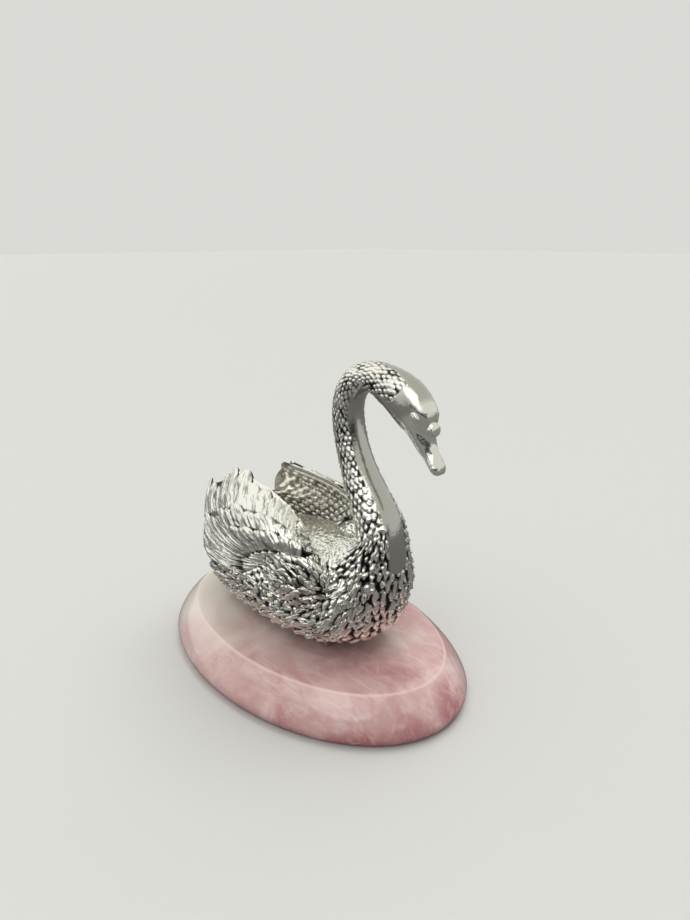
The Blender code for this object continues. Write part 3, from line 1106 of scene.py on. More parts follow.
    def build_length(self, name: str, span: tuple, size: tuple, finish: bpy.types.Material) -> None:
        """One closed length of the skin, from a sphere's rings and columns.

        Args:
            name: Name of the piece.
            span: First and last ring of the form.
            size: Rings of the mesh, and points round each of them.
            finish: Material.
        """
        rings, columns = size
        bm = bmesh.new()
        bmesh.ops.create_uvsphere(bm, u_segments=columns, v_segments=rings + 1, radius=1.0)
        mesh = to_mesh(name, bm)
        x, y, z = read_points(mesh).T
        row = np.rint(np.arccos(np.clip(z, -1, 1)) / np.pi * (rings + 1)).astype(int) - 1
        column = np.rint(np.arctan2(y, x) / (2 * np.pi) * columns).astype(int) % columns
        turns = np.arange(columns) * 2 * np.pi / columns
        ring, angle = np.meshgrid(np.linspace(*span, rings), turns, indexing="ij")
        smooth = self.form.surface(ring, angle)
        normal = ring_normals(smooth)
        if ((smooth - smooth.mean(axis=1, keepdims=True)) * normal).sum() < 0:
            normal = -normal
        lift, bright = self.relief_at(smooth, ring, angle, on_neck=span[0] == 0)
        points = smooth + normal * (lift + self.face_shape(smooth, ring, angle))[..., None]
        points[..., 2] = np.maximum(points[..., 2], self.form.seat)
        for edge, beside in ((0, 1), (rings - 1, rings - 2)):
            if self.form.marks["end"] > ring[edge, 0] > 0:
                points[edge] = points[beside] - normal[beside] * self.tuck
        poles = np.stack([points[0].mean(axis=0), points[-1].mean(axis=0)])
        place = np.where((row < 0)[:, None], poles[0], poles[1])
        values = np.ones(len(row))
        on_ring = (row >= 0) & (row < rings)
        place[on_ring] = points[row[on_ring], column[on_ring]]
        values[on_ring] = bright[row[on_ring], column[on_ring]]
        write_points(mesh, place)
        # The relief attribute gets each point's painted shade.
        set_painted_shade(mesh, values)
        add_silver(mesh, finish, 75)

    def build(self, finish: bpy.types.Material) -> None:
        """Make the three lengths, whose ends are tucked in where they meet.

        Args:
            finish: Material.
        """
        neck_end = self.form.marks["body"] - 4.0
        middle = self.form.marks["body"] + 20.0
        lengths = (
            ("swan_head_and_neck", (0.0, neck_end), (450, 150)),
            ("swan_breast", (neck_end - self.overlap, middle), (200, 340)),
            ("swan_rear_body", (middle - self.overlap, self.form.marks["end"]), (150, 240)),
        )
        for name, span, size in lengths:
            self.build_length(name, span, size, finish)


@dataclass
class HeadTrim:
    """The eyes and the knob over the bill."""

    form: SwanForm
    eye: float = 3.0 * MM
    knob_diameter: float = 4.4 * MM
    knob_length: float = 5.6 * MM
    knob_turn: float = math.radians(80)

    def add(self, name: str, bm: bmesh.types.BMesh, at: tuple, turn: float, size: tuple) -> bpy.types.Mesh:
        """Turn a unit shape into a mesh, placed on the head.

        Args:
            name: Name of the mesh.
            bm: The shape.
            at: Place down the face, to the left and up from it, from the brow.
            turn: Turn towards the bill.
            size: Size along each of its own axes.

        Returns:
            The mesh.
        """
        brow, along, lift = self.form.brow_frame()
        centre = brow + along * at[0] + lift * at[2]
        place = Matrix.Translation((centre[0], at[1], centre[1]))
        matrix = place @ Matrix.Rotation(turn, 4, "Y") @ Matrix.Diagonal((*size, 1))
        bmesh.ops.transform(bm, matrix=matrix, verts=bm.verts[:])
        bmesh.ops.recalc_face_normals(bm, faces=bm.faces[:])
        mesh = to_mesh(name, bm)
        set_painted_shade(mesh, np.ones(len(mesh.vertices)))
        return mesh

    def build_eye(self, side: Side, finish: bpy.types.Material) -> None:
        """Almond eye with a raised lid, from a sphere.

        Args:
            side: Side of the head.
            finish: Material.
        """
        bm = bmesh.new()
        bmesh.ops.create_uvsphere(bm, u_segments=40, v_segments=28, radius=1.0)
        for v in bm.verts:
            around = math.hypot(v.co.x / 1.25, v.co.z)
            lid = math.exp(-(((around - 0.74) / 0.14) ** 2))
            v.co.y *= 1 + 0.35 * lid
        size = (self.eye * 0.62, self.eye * 0.32, self.eye * 0.44)
        at = (-1.5 * MM, side.value * self.form.head_width * 0.345, 2.4 * MM)
        add_silver(self.add(f"eye_{side.name.lower()}", bm, at, self.form.brow_dip, size), finish)

    def build_knob(self, finish: bpy.types.Material) -> None:
        """Short stub with a flat round face, pointing forward over the bill.

        Args:
            finish: Material.
        """
        bm = bmesh.new()
        bmesh.ops.create_cone(bm, cap_ends=True, segments=40, radius1=1.15, radius2=0.92, depth=1.0)
        rims = [e for e in bm.edges if abs(e.verts[0].co.z - e.verts[1].co.z) < 1e-6]
        bmesh.ops.bevel(bm, geom=rims, offset=0.12, segments=5, profile=0.5, affect="EDGES", material=-1)
        size = (self.knob_diameter / 2, self.knob_diameter / 2, self.knob_length)
        add_silver(self.add("bill_knob", bm, (2.4 * MM, 0.0, 1.2 * MM), self.knob_turn, size), finish, 50)

    def build(self, finish: bpy.types.Material) -> None:
        """Make both eyes and the knob.

        Args:
            finish: Material.
        """
        for side in Side:
            self.build_eye(side, finish)
        self.build_knob(finish)


# The wings


@dataclass
class WingForm:
    """Smooth surface of one wing, swept along its feathers."""

    side: Side
    body: SwanForm
    stand_out: float = 1.0 * MM
    rise: float = 19.0 * MM
    left_rear_drop: float = 11.5 * MM
    left_top_drop: float = 2.0 * MM
    root_sink: float = 4.0 * MM

    def place(self, shares: tuple) -> tuple:
        """Turn shares of the swan's sizes into a place.

        Args:
            shares: Shares of the body's length from the chest, of half the span, and of the height.

        Returns:
            The place's x, y and z.
        """
        back, out, up = shares
        return (
            self.body.chest_x - back * self.body.body_length,
            out * (self.body.body_width / 2 + self.stand_out),
            self.body.seat + up * (self.body.body_depth + self.rise),
        )

    def curve(self, across: np.ndarray) -> tuple:
        """Root, control and tip of the feather curves.

        Args:
            across: Shares of the wing, from the front top to the lower rear.

        Returns:
            Three arrays of points for the left side.
        """
        roots = (
            (0.00, (0.219, 0.755, 0.650)),
            (0.25, (0.290, 0.796, 0.620)),
            (0.50, (0.351, 0.796, 0.552)),
            (0.75, (0.391, 0.837, 0.472)),
            (1.00, (0.391, 0.837, 0.392)),
        )
        blades = (
            (0.00, (0.260, 0.816, 0.740), (0.280, 0.490, 0.690)),
            (0.15, (0.351, 0.980, 0.770), (0.402, 0.449, 0.890)),
            (0.30, (0.483, 1.102, 0.750), (0.554, 0.449, 0.980)),
            (0.42, (0.635, 1.184, 0.630), (0.716, 0.408, 1.006)),
            (0.55, (0.746, 1.143, 0.540), (0.858, 0.327, 0.880)),
            (0.66, (0.817, 1.102, 0.460), (0.990, 0.245, 0.770)),
            (0.80, (0.848, 1.102, 0.360), (0.980, 0.327, 0.620)),
            (0.92, (0.848, 1.061, 0.300), (0.959, 0.449, 0.460)),
            (1.00, (0.817, 1.061, 0.260), (0.919, 0.612, 0.340)),
        )
        root = smooth_path([row[0] for row in roots], [self.place(row[1]) for row in roots], across)
        shares = [row[0] for row in blades]
        control = smooth_path(shares, [self.place(row[1]) for row in blades], across)
        tip = smooth_path(shares, [self.place(row[2]) for row in blades], across)
        if self.side is Side.LEFT:
            rear = np.clip((across - 0.46) / 0.06, 0, 1) * np.clip((1 - across) / 0.3, 0, 1)
            top = np.clip((across - 0.15) / 0.15, 0, 1) * (across < 0.47)
            tip[..., 2] -= self.left_rear_drop * rear + self.left_top_drop * top
        return root, control, tip

    def surface(self, across: np.ndarray, along: np.ndarray) -> tuple:
        """Points and outward normals of the wing's outer face.

        Args:
            across: Shares of the wing from the front top to the lower rear.
            along: Shares from root to tip.

        Returns:
            Points and unit normals, on the wing's own side.
        """

        def point(a: np.ndarray, t: np.ndarray) -> np.ndarray:
            """Point of the surface on the left side.

            Args:
                a: Shares across the wing.
                t: Shares along the feathers.

            Returns:
                The points.
            """
            root, control, tip = self.curve(a)
            t = t[..., None]
            made = (1 - t) ** 2 * root + 2 * (1 - t) * t * control + t * t * tip
            sink = self.root_sink * np.clip(1 - t / 0.25, 0, None)
            return made - sink * np.array([0.0, 1.0, 0.0])

        nudge = 0.01
        run = point(across, along + nudge) - point(across, along - nudge)
        sweep = point(across + nudge, along) - point(across - nudge, along)
        normal = unit_length(np.cross(run, sweep))
        normal = np.where(normal[..., 1:2] < 0, -normal, normal)
        flip = np.array([1.0, self.side.value, 1.0])
        return point(across, along) * flip, normal * flip


def closed_blank(across: int, along: int) -> bpy.types.Mesh:
    """Closed flat blank of a feather or a plate.

    Args:
        across: Points across.
        along: Points along.

    Returns:
        Mesh with x and y from 0 to 1, its upper face at z of 0 and its lower face at z of -1.
    """
    bm = bmesh.new()
    bmesh.ops.create_grid(bm, x_segments=across - 1, y_segments=along - 1, size=0.5)
    grown = bmesh.ops.extrude_face_region(bm, geom=bm.faces[:], use_keep_orig=True)["geom"]
    lower = [g for g in grown if isinstance(g, bmesh.types.BMVert)]
    bmesh.ops.translate(bm, verts=lower, vec=(0, 0, -1))
    bmesh.ops.translate(bm, verts=bm.verts[:], vec=(0.5, 0.5, 0))
    bmesh.ops.recalc_face_normals(bm, faces=bm.faces[:])
    return to_mesh("blank", bm)


@dataclass
class FeatherHeap:
    """Feathers gathered into one piece."""

    name: str
    bm: bmesh.types.BMesh = field(default_factory=bmesh.new)
    points: list = field(default_factory=list)
    painted_shades: list = field(default_factory=list)
    flows: list = field(default_factory=list)

    def add(self, blank: bpy.types.Mesh, points: np.ndarray, painted_shade: np.ndarray, flow: np.ndarray) -> None:
        """Add one copy of a blank, laid at its own points.

        Args:
            blank: Mesh that gives the faces.
            points: Place of each of its points.
            painted_shade: Painted shade of each point, as a brightness from 0 to 1.
            flow: Place of each point across and along its feather.
        """
        self.bm.from_mesh(blank)
        self.flows.append(flow)
        self.points.append(points)
        self.painted_shades.append(painted_shade)

    def finish(self, finish: bpy.types.Material) -> None:
        """Turn the heap into a piece.

        Args:
            finish: Material.
        """
        mesh = to_mesh(self.name, self.bm)
        write_points(mesh, np.concatenate(self.points))
        set_painted_shade(mesh, np.concatenate(self.painted_shades))
        set_flow(mesh, np.concatenate(self.flows))
        add_silver(mesh, finish, 60)


@dataclass(frozen=True)
class FeatherRow:
    """One layer of a wing's feathers, as shares of the wing's surface, with its lift in millimetres."""

    count: int
    start: float
    stop: float
    width: float
    lift: float
    points_across: int
    points_along: int
    rear_share: float = 1.0
    tilt: float = 0.45
    barbs: float = 2.0
    rounded: float = 0.3
    uneven: float = 0.05
    shown_from: float = 0.0
    above_share: float = 1.0


@dataclass
class Wing:
    """One wing: a thin plate with scales on its inner face, and layers of long feathers over it."""

    form: WingForm
    plate_lines: int = 130
    plate_steps: int = 70
    plate_thickness: float = 1.6 * MM
    blade_thickness: float = 0.9 * MM
    blade_relief: float = 0.80 * MM
    scales: Plumage = Plumage(
        columns=64, length=1.25, width=0.53, point=0.35, barbs=0.0, unevenness=0.10, seed=9
    )
    scale_width: float = 3.2 * MM
    scale_length: float = 2.6 * MM
    top_slope: float = 0.35
    scale_relief: float = 1.2 * MM
    band_start: float = 0.86
    bead_height: float = 1.4 * MM
    tip_thickness: float = 1.0 * MM
    outer_gap: float = 0.35 * MM
    span_mm: float = 30.0
    blade_mm: float = 40.0

    def reach(self, across: float) -> float:
        """How far the feathers run: to the band at the front, and to free points at the rear.

        Args:
            across: Share of the wing from the front top to the lower rear.

        Returns:
            Share of the full length.
        """
        places = (0.00, 0.30, 0.42, 0.48, 0.56, 0.63, 0.70, 0.78, 0.86, 1.00)
        shares = (0.95, 0.95, 0.98, 0.97, 0.89, 0.92, 1.00, 0.93, 0.98, 0.97)
        return float(np.interp(across, places, shares))

    def build_plate(self, finish: bpy.types.Material) -> None:
        """The wing's ground, which shows on its inner face as rows of scales under a smooth band.

        Args:
            finish: Material.
        """
        mesh = closed_blank(self.plate_lines, self.plate_steps)
        across, along, lower = read_points(mesh).T
        scallop = 0.012 * np.abs(np.sin(across * 7.5 * np.pi))
        edge = mix(0.965, 0.93, ease(0.40, 0.50, across)) - scallop * ease(0.8, 1.0, along)
        point, normal = self.form.surface(across, along * edge)
        inner = lower < -0.5
        run = math.hypot(1.0, self.top_slope)
        upward = (self.top_slope * point[:, 0] + point[:, 2]) / run
        rearward = (self.top_slope * point[:, 2] - point[:, 0]) / run
        wander = 0.15 * cloud(point, 6 * MM, 21)
        height = self.scales.height(
            upward / self.scale_length + wander, rearward / self.scale_width + wander
        )
        height = np.clip(height + 0.06 * cloud(point, 1.0 * MM, 22), 0, 1.1)
        band = ease(self.band_start, self.band_start + 0.02, along) * ease(0.44, 0.40, across)
        band = band * ease(0.02, 0.07, across)
        rolled = np.sqrt(1 - np.clip((along - 0.94) / 0.065, 0, 1) ** 2)
        bead = np.sin(np.pi * np.clip((along - self.band_start) / (1.0 - self.band_start), 0, 1)) ** 0.35
        notch = 0.10 * np.abs(np.sin(across * 22 * np.pi)) ** 0.4
        ground = mix(self.scale_relief * (height - 0.6), self.bead_height * bead * (0.85 + notch), band)
        thickness = mix(self.plate_thickness, self.tip_thickness, along)
        shift = -np.where(inner, thickness + ground, self.outer_gap) * rolled
        mesh.name = f"wing_plate_{self.form.side.name.lower()}"
        write_points(mesh, point + normal * shift[:, None])
        # Painted shade: the scales darken in their hollows, the band stays bright and the plate's outer
        # face, under the feathers, is painted dark.
        bright = mix(np.clip(height + 0.04, 0, 1), 1.0, band)
        set_painted_shade(mesh, np.where(inner, bright, mix(0.1, 1.0, band)))
        add_silver(mesh, finish, 60)

    def lay_feather(self, flat: np.ndarray, row: FeatherRow, number: int, chance: np.ndarray) -> tuple:
        """Lay one blank on the wing as a feather.

        Args:
            flat: Points of the blank.
            row: Layer that the feather belongs to.
            number: Which feather of the layer.
            chance: Random numbers from -1 to 1 for this feather.

        Returns:
            Points, painted shade as brightness values, and flow.
        """
        x, y, z = flat.T
        u = 2 * x - 1
        centre = (number + 0.5) / row.count
        tip = np.clip((y - (1 - row.rounded)) / row.rounded, 0, 1)
        shape = np.sqrt(np.clip(1.015 - tip**2.2, 0, 1)) * mix(0.8, 1.0, np.clip(y / 0.25, 0, 1))
        across = centre + row.width / 2 * u * shape + 0.008 * chance[1] * y
        rear = mix(1.0, row.rear_share, ease(0.40, 0.95, centre))
        stop = row.stop * (1 + row.uneven * chance[0]) * self.reach(centre) * rear
        along = row.start + (stop - row.start) * y
        point, normal = self.form.surface(np.clip(across, -0.015, 1.015), along)
        off = np.abs(u)
        half = row.width * self.span_mm / 2
        swirl = 0.9 * cloud(point, 5 * MM, 33)
        aside = u * half * shape + 9.1 * number + swirl
        flow = np.stack([aside, self.blade_mm * along, z + number], axis=-1)
        from_shaft = 1 - np.exp(-((u / 0.18) ** 2))
        turns = row.barbs * off - 2.0 * (row.stop - row.start) * y + chance[2]
        barbs = 0.16 * np.sin(2 * np.pi * turns)
        shaft = 0.20 * np.exp(-((u / 0.10) ** 2))
        rough = 0.16 * cloud(point, 1.6 * MM, 31) + 0.10 * cloud(point, 0.6 * MM, 32)
        height = 0.70 * (1 - u * u) + row.tilt * u + shaft + barbs * from_shaft + rough
        top = z > -0.5
        swell = mix(0.7, 1.0, np.clip(y / 0.4, 0, 1)) * mix(1.0, 0.7, ease(0.9, 1.0, y))
        rise = mix(0.45, 1.0, ease(0.2, 0.95, y))
        lift = row.lift * MM * rise + height * self.blade_relief * swell
        under = row.lift * MM * rise - self.blade_thickness * mix(1.0, 0.6, y)
        # Painted shade: each feather darkens where it comes out from under the row above, at its edges and
        # along its covered upper side, and lightens towards its tip.
        hidden_to = row.shown_from * mix(1.0, row.above_share, ease(0.40, 0.95, centre))
        shown = ease(hidden_to - 0.015, hidden_to + 0.07, along)
        rim = mix(1.0, 0.35, ease(0.80, 1.0, off)) * mix(1.0, 0.3, ease(-0.45, -0.9, u))
        painted_shade = np.clip(0.30 + 0.62 * height + 0.25 * ease(0.45, 0.7, along), 0, 1)
        painted_shade = painted_shade * mix(0.22, 1.0, shown) * rim
        made = point + normal * np.where(top, lift, under)[:, None]
        return made, np.where(top, painted_shade, 0.2), flow

    def build(self, finish: bpy.types.Material, plate_finish: bpy.types.Material) -> None:
        """Make the plate and its layers of feathers, from the lowest to the topmost.

        Args:
            finish: Material of the feathers.
            plate_finish: Material of the plate.
        """
        self.build_plate(plate_finish)
        rows = (
            FeatherRow(
                count=17,
                start=0.10,
                stop=1.00,
                width=0.082,
                lift=0.0,
                points_across=16,
                points_along=64,
                barbs=1.6,
                rounded=0.20,
                uneven=0.03,
                shown_from=0.64,
            ),
            FeatherRow(
                count=17,
                start=0.10,
                stop=0.68,
                width=0.084,
                lift=0.9,
                points_across=16,
                points_along=44,
                barbs=1.6,
                rounded=0.20,
                shown_from=0.42,
                above_share=0.55,
            ),
            FeatherRow(
                count=13,
                start=0.06,
                stop=0.47,
                width=0.100,
                lift=2.1,
                points_across=18,
                points_along=40,
                rear_share=0.50,
                tilt=0.95,
                barbs=1.4,
                rounded=0.22,
                shown_from=0.20,
            ),
            FeatherRow(
                count=15,
                start=0.03,
                stop=0.21,
                width=0.084,
                lift=2.5,
                points_across=12,
                points_along=24,
                rear_share=0.80,
                barbs=1.2,
                rounded=0.40,
            ),
        )
        rng = np.random.default_rng(17 if self.form.side is Side.LEFT else 23)
        heap = FeatherHeap(f"wing_feathers_{self.form.side.name.lower()}")
        for row in rows:
            blank = closed_blank(row.points_across, row.points_along)
            flat = read_points(blank)
            for number in range(row.count):
                heap.add(blank, *self.lay_feather(flat, row, number, rng.uniform(-1, 1, 4)))
            bpy.data.meshes.remove(blank)
        heap.finish(finish)


@dataclass
class Tufts:
    """Loose, chunky feathers over a wing's root and down the flank."""

    side: Side
    form: SwanForm
    shoulder_centre: tuple = (14.0 * MM, 15.5 * MM, 40.5 * MM)
    shoulder_radii: tuple = (16.0 * MM, 8.5 * MM, 11.0 * MM)
    shoulder_count: int = 150
    flank_count: int = 140
    fur_relief: float = 0.55 * MM
    length: float = 4.4 * MM
    width: float = 2.7 * MM
    relief: float = 0.75 * MM
    under: float = 0.7 * MM
    points_across: int = 7
    points_along: int = 9

    def shoulder_places(self, rng: np.random.Generator) -> tuple:
        """Places, normals and flow of the tufts over the shoulder.

        Args:
            rng: Source of chance.

        Returns:
            Three arrays of rows, on the left side.
        """
        number = np.arange(2 * self.shoulder_count) + 0.5
        up = 1 - 2 * number / len(number)
        turn = number * math.pi * (3 - math.sqrt(5))
        flat = np.sqrt(1 - up * up)
        unit = np.stack([np.cos(turn) * flat, np.sin(turn) * flat, up], axis=-1)
        unit = unit[unit[:, 1] > -0.05]
        radii = np.array(self.shoulder_radii)
        points = np.array(self.shoulder_centre) + unit * radii
        flow = np.array([-0.85, 0.0, 0.30]) + rng.uniform(-0.35, 0.35, points.shape)
        return points, unit_length(unit / radii), flow

    def build_mound(self, finish: bpy.types.Material) -> None:
        """Downy mass of the shoulder, which the tufts lie on and the wing grows from.

        Args:
            finish: Material.
        """
        bm = bmesh.new()
        bmesh.ops.create_icosphere(bm, subdivisions=6, radius=1.0)
        mesh = to_mesh(f"shoulder_{self.side.name.lower()}", bm)
        unit = read_points(mesh)
        radii = 0.95 * np.array(self.shoulder_radii)
        point = np.array(self.shoulder_centre) + unit * radii
        fur = 0.6 * cloud(point * (0.45, 1, 1), 0.7 * MM, 51) + 0.5 * cloud(point, 1.6 * MM, 52)
        point = point + unit_length(unit / radii) * self.fur_relief * fur[:, None]
        write_points(mesh, point * np.array([1.0, self.side.value, 1.0]))
        # Painted shade: the mound is darker on its outer side, under the tufts, and in the hollows of its
        # fur.
        inward = ease(0.2, -0.2, unit[:, 1])
        set_painted_shade(mesh, np.clip(mix(0.15, 0.6, inward) + 0.4 * fur, 0, 1))
        add_silver(mesh, finish)

    def flank_places(self, rng: np.random.Generator) -> tuple:
        """Places, normals and flow of the tufts down the flank.

        Args:
            rng: Source of chance.

        Returns:
            Three arrays of rows, on the left side.
        """
        number = np.arange(self.flank_count) + 0.5
        start = self.form.marks["body"] + 4.0
        ring = start + 30.0 * number / self.flank_count
        angle = mix(0.75, 1.75, (number * 0.618034) % 1.0)
        points = self.form.surface(ring, angle)
        run = self.form.surface(ring + 0.2, angle) - points
        turn = self.form.surface(ring, angle + 0.02) - points
        normals = unit_length(np.cross(run, turn))
        normals *= np.sign(normals[:, 1:2])
        flow = unit_length(run) + np.array([0, 0, 0.25]) + rng.uniform(-0.3, 0.3, points.shape)
        return points, normals, flow

    def build(self, finish: bpy.types.Material) -> None:
        """Make the tufts of one side.

        Args:
            finish: Material.
        """
        self.build_mound(finish)
        rng = np.random.default_rng(41 if self.side is Side.LEFT else 43)
        parts = [self.shoulder_places(rng), self.flank_places(rng)]
        points, normals, flows = (np.concatenate(rows) for rows in zip(*parts))
        flip = np.array([1.0, self.side.value, 1.0])
        blank = closed_blank(self.points_across, self.points_along)
        x, y, z = read_points(blank).T
        u = 2 * x - 1
        heap = FeatherHeap(f"tufts_{self.side.name.lower()}")
        for point, normal, flow in zip(points, normals, flows):
            flow = unit_length(flow - normal * (flow @ normal))
            beside = np.cross(normal, flow)
            length = self.length * rng.uniform(0.6, 1.3)
            width = self.width * rng.uniform(0.6, 1.3)
            shape = np.sqrt(np.clip(1.02 - np.abs(2 * y - 1) ** 2.6, 0, 1))
            lean = rng.uniform(-0.8, 0.8)
            height = 0.75 * (1 - u * u) + 0.16 * np.sin(2 * np.pi * (1.6 * np.abs(u) - 1.5 * y))
            lumps = cloud(np.stack([x, y, z], -1), 0.3, int(rng.integers(99)))
            height = height + lean * u + 0.4 * lumps
            above = z > -0.5
            lift = mix(-0.9, 0.55, y) * MM + np.where(above, self.relief * height, -self.under)
            bent = 0.5 * MM * rng.uniform(-1, 1) * y * y
            made = (
                point
                + flow * (length * (y - 0.5))[:, None]
                + beside * (width / 2 * u * shape + bent)[:, None]
                + normal * lift[:, None]
            )
            made[:, 2] = np.maximum(made[:, 2], self.form.seat + 0.2 * MM)
            # Painted shade: each tuft is darker at its base, where it goes under its neighbours, and dark
            # on its underside.
            painted_shade = np.where(above, np.clip(0.75 * height * mix(0.4, 1.2, y), 0, 1), 0.1)
            grain = np.stack([1.2 * u + 5.3 * len(heap.points), 4 * y, z], axis=-1)
            heap.add(blank, made * flip, painted_shade, grain)
        bpy.data.meshes.remove(blank)
        heap.finish(finish)


# The stone


@dataclass
class StoneBase:
    """Oval block with a flat polished top and a bulging side."""

    length: float
    width: float
    height: float
    top_inset: float = 8.2 * MM
    bulge: float = 1.1 * MM
    foot_height: float = 3.6 * MM
    foot_inset: float = 2.6 * MM
    edge_drop: float = 0.35 * MM
    sides: int = 200
    flat_rings: int = 6

    def profile(self) -> list:
        """Inset and height from the middle of the underside to the middle of the top.

        Returns:
            Pairs of inset and height.
        """
        foot = [
            (self.foot_inset * (1 - math.sin(turn)), self.foot_height * (1 - math.cos(turn)))
            for turn in np.linspace(0, math.pi / 2, 9)
        ]
        share_end = 1 - self.edge_drop / (self.height - self.foot_height)
        side = []
        for share in np.linspace(0, share_end, 16)[1:]:
            inset = self.top_inset * share - 4 * self.bulge * share * (1 - share)
            side.append((max(inset, 0.0), mix(self.foot_height, self.height, share)))
        start = math.atan2(side[-1][0] - side[-2][0], side[-1][1] - side[-2][1])
        radius = self.edge_drop / (1 - math.sin(start))
        edge = [
            (
                side[-1][0] + radius * (math.cos(start) - math.cos(turn)),
                side[-1][1] + radius * (math.sin(turn) - math.sin(start)),
            )
            for turn in np.linspace(start, math.pi / 2, 8)[1:]
        ]
        return foot + side + edge

    def build(self, finish: bpy.types.Material) -> None:
        """Make the stone from a sphere's rings laid on the profile.

        Args:
            finish: Material.
        """
        profile = self.profile()
        flat = self.flat_rings
        rings = len(profile) + 2 * flat
        bm = bmesh.new()
        bmesh.ops.create_uvsphere(bm, u_segments=self.sides, v_segments=rings + 1, radius=1.0)
        for v in bm.verts:
            row = rings - round(math.acos(max(-1.0, min(1.0, v.co.z))) / math.pi * (rings + 1))
            angle = math.atan2(v.co.y, v.co.x)
            shrink = 1.0
            if row < flat:
                shrink = max(0.0, (row + 1) / (flat + 1))
            elif row >= flat + len(profile):
                shrink = max(0.0, (rings - row) / (flat + 1))
            inset, height = profile[min(max(row - flat, 0), len(profile) - 1)]
            v.co.x = math.cos(angle) * (self.length / 2 - inset) * shrink
            v.co.y = math.sin(angle) * (self.width / 2 - inset) * shrink
            v.co.z = height
        bmesh.ops.recalc_face_normals(bm, faces=bm.faces[:])
        piece = add_piece(to_mesh("quartz_stone", bm), finish)
        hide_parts("stone_base")


@dataclass(frozen=True)
class MountingPad:
    """The plate between the stone and the belly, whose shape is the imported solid's own."""

    node: str = "mounting_pad"

    def dress(self, finish: bpy.types.Material) -> None:
        """Give the plate its finish.

        Args:
            finish: Material.
        """
        pad = bpy.data.objects[self.node]
        pad.data.materials.clear()
        pad.data.materials.append(finish)
        LOG.info("%s: %d faces", pad.name, len(pad.data.polygons))


# The studio


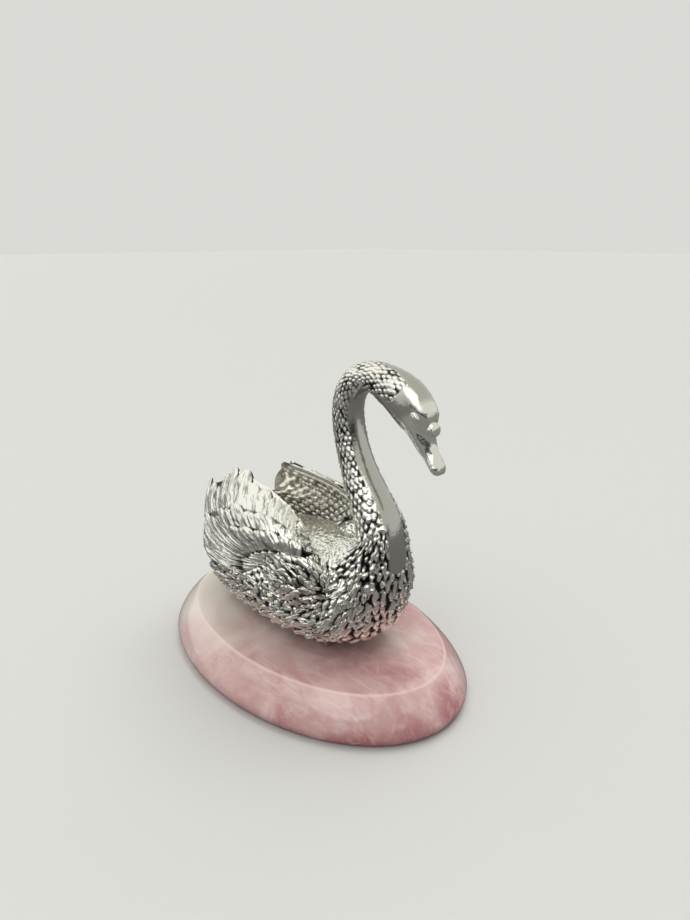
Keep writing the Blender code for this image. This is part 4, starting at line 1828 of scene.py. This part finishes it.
@dataclass(frozen=True)
class Studio:
    """Pale floor, soft lights and the photograph's camera."""

    camera_at: tuple = (0.176441, -0.142715, 0.147227)
    camera_back: tuple = (0.705661, -0.637614, 0.309017)
    focal_pixels: float = 691.0
    frame_height: float = 920.0
    sensor: float = 36.0
    floor_colour: tuple = (0.56, 0.56, 0.565)
    floor_in_metal: tuple = (0.13, 0.13, 0.134)
    seen_behind: tuple = (0.70, 0.70, 0.67)
    wall_colour: tuple = (0.66, 0.665, 0.635)
    ceiling_colour: tuple = (0.66, 0.655, 0.58)
    window_colour: tuple = (0.95, 0.95, 0.90)
    lamp_colour: tuple = (2.2, 2.2, 2.1)
    dark_colour: tuple = (0.028, 0.034, 0.036)
    lamp_side: tuple = (0.25, -0.55, 0.80)
    window_side: tuple = (-0.70, -0.35, 0.62)
    dark_side: tuple = (0.742, -0.670, 0.0)
    sun_from: tuple = (-0.05, 0.42, 0.90)
    sun_power: float = 1.45
    sun_spread: float = math.radians(50)

    def aim(self, thing: bpy.types.Object, back: tuple) -> None:
        """Turn a camera or a light so that its back faces a direction."""
        thing.rotation_mode = "QUATERNION"
        thing.rotation_quaternion = (-Vector(back)).to_track_quat("-Z", "Y")

    def build_camera(self) -> None:
        """Place the camera where the photograph was taken."""
        data = bpy.data.cameras.new("camera")
        data.sensor_width = self.sensor
        data.lens = self.focal_pixels / self.frame_height * self.sensor
        data.clip_start = 0.005
        camera = bpy.data.objects.new("camera", data)
        camera.location = self.camera_at
        self.aim(camera, self.camera_back)
        bpy.context.collection.objects.link(camera)
        bpy.context.scene.camera = camera

    def build_floor(self) -> None:
        """Make the floor, as part of the stage, which shows darker in reflections."""
        bm = bmesh.new()
        bmesh.ops.create_grid(bm, x_segments=4, y_segments=4, size=6.0)
        mesh = to_mesh("floor", bm)
        made, pen, shader = new_material("floor_paint")
        path = pen.add("ShaderNodeLightPath")
        colour = pen.mix_colour(path.outputs["Is Glossy Ray"], self.floor_colour, self.floor_in_metal)
        pen.join(colour, shader.inputs["Base Color"])
        shader.inputs["Roughness"].default_value = 0.6
        mesh.materials.append(made)
        floor = bpy.data.objects.new("floor", mesh)
        floor.location.z = -0.1 * MM
        bpy.context.collection.objects.link(floor)

    def build_sun(self) -> None:
        """Wide soft light from above, as even over the floor as over the swan."""
        data = bpy.data.lights.new("window_light", "SUN")
        data.energy = self.sun_power
        data.angle = self.sun_spread
        data.color = (1.0, 1.0, 0.99)
        light = bpy.data.objects.new("window_light", data)
        self.aim(light, self.sun_from)
        light.location = Vector(self.sun_from)
        light.visible_glossy = False
        bpy.context.collection.objects.link(light)

    def facing(
        self,
        pen: NodePen,
        place: bpy.types.NodeSocket,
        side: tuple,
        low: float,
        high: float,
    ) -> bpy.types.NodeSocket:
        """Share of a direction that faces one side of the room.

        Args:
            pen: Pen of the world.
            place: Direction.
            side: Side of the room.
            low: Closeness to it at which the share starts.
            high: Closeness at which the share is full.

        Returns:
            Socket with the share.
        """
        towards = pen.add("ShaderNodeVectorMath", operation="DOT_PRODUCT")
        pen.join(place, towards.inputs[0])
        towards.inputs[1].default_value = Vector(side).normalized()
        return pen.spread(towards.outputs["Value"], low, high, curve="SMOOTHSTEP")

    def build_world(self) -> None:
        """Room with pale walls, a warmer ceiling, a lamp, a window at the left and a dark near corner."""
        world = bpy.data.worlds.new("room")
        world.use_nodes = True
        bpy.context.scene.world = world
        pen = NodePen(world.node_tree)
        back = world.node_tree.nodes["Background"]
        out = world.node_tree.nodes["World Output"]
        place = pen.add("ShaderNodeTexCoord").outputs["Generated"]
        ceiling = self.facing(pen, place, (0, 0, 1), 0.10, 0.75)
        room = pen.mix_colour(ceiling, self.wall_colour, self.ceiling_colour)
        towards_camera = self.facing(pen, place, self.dark_side, 0.45, 0.80)
        low = self.facing(pen, place, (0, 0, -1), -0.42, -0.15)
        room = pen.mix_colour(pen.maths("MULTIPLY", towards_camera, low), room, self.dark_colour)
        window = self.facing(pen, place, self.window_side, 0.62, 0.90)
        room = pen.mix_colour(window, room, self.window_colour)
        lamp = self.facing(pen, place, self.lamp_side, 0.905, 0.95)
        pen.join(pen.mix_colour(lamp, room, self.lamp_colour), back.inputs["Color"])
        seen = pen.add("ShaderNodeBackground")
        seen.inputs["Color"].default_value = (*self.seen_behind, 1.0)
        path = pen.add("ShaderNodeLightPath")
        blend = pen.add("ShaderNodeMixShader")
        pen.join(path.outputs["Is Camera Ray"], blend.inputs["Fac"])
        pen.join(back.outputs["Background"], blend.inputs[1])
        pen.join(seen.outputs["Background"], blend.inputs[2])
        pen.join(blend.outputs["Shader"], out.inputs["Surface"])

    def build(self) -> None:
        """Make the whole stage."""
        bpy.context.scene.view_settings.view_transform = "Standard"
        self.build_camera()
        self.build_floor()
        self.build_world()
        self.build_sun()


def main() -> None:
    """Build the figurine's pieces in order."""
    logging.basicConfig(level=logging.INFO, format="%(name)s: %(message)s")
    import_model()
    swan_low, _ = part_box("swan")
    stone_low, stone_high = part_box("stone_base")
    grain = speckle_group()
    silver = SilverFinish("silver_plating").build(grain)
    plain_silver = SilverFinish("polished_silver", grain=300.0, grain_depth=0.02 * MM, roughness=0.10)
    polished = plain_silver.build(grain)
    streaky_silver = SilverFinish("streaked_silver", streak_depth=0.45 * MM, grain_depth=0.05 * MM)
    streaked = streaky_silver.build(grain)
    form = SwanForm(seat=swan_low.z)
    SwanSkin(form).build(silver)
    HeadTrim(form).build(polished)
    for side in Side:
        Wing(WingForm(side, form)).build(streaked, silver)
        Tufts(side, form).build(streaked)
    stone_size = stone_high - stone_low
    StoneBase(stone_size.x, stone_size.y, stone_size.z).build(QuartzFinish().build())
    MountingPad().dress(PadFinish().build(grain))
    Studio().build()


if __name__ == "__main__":
    main()
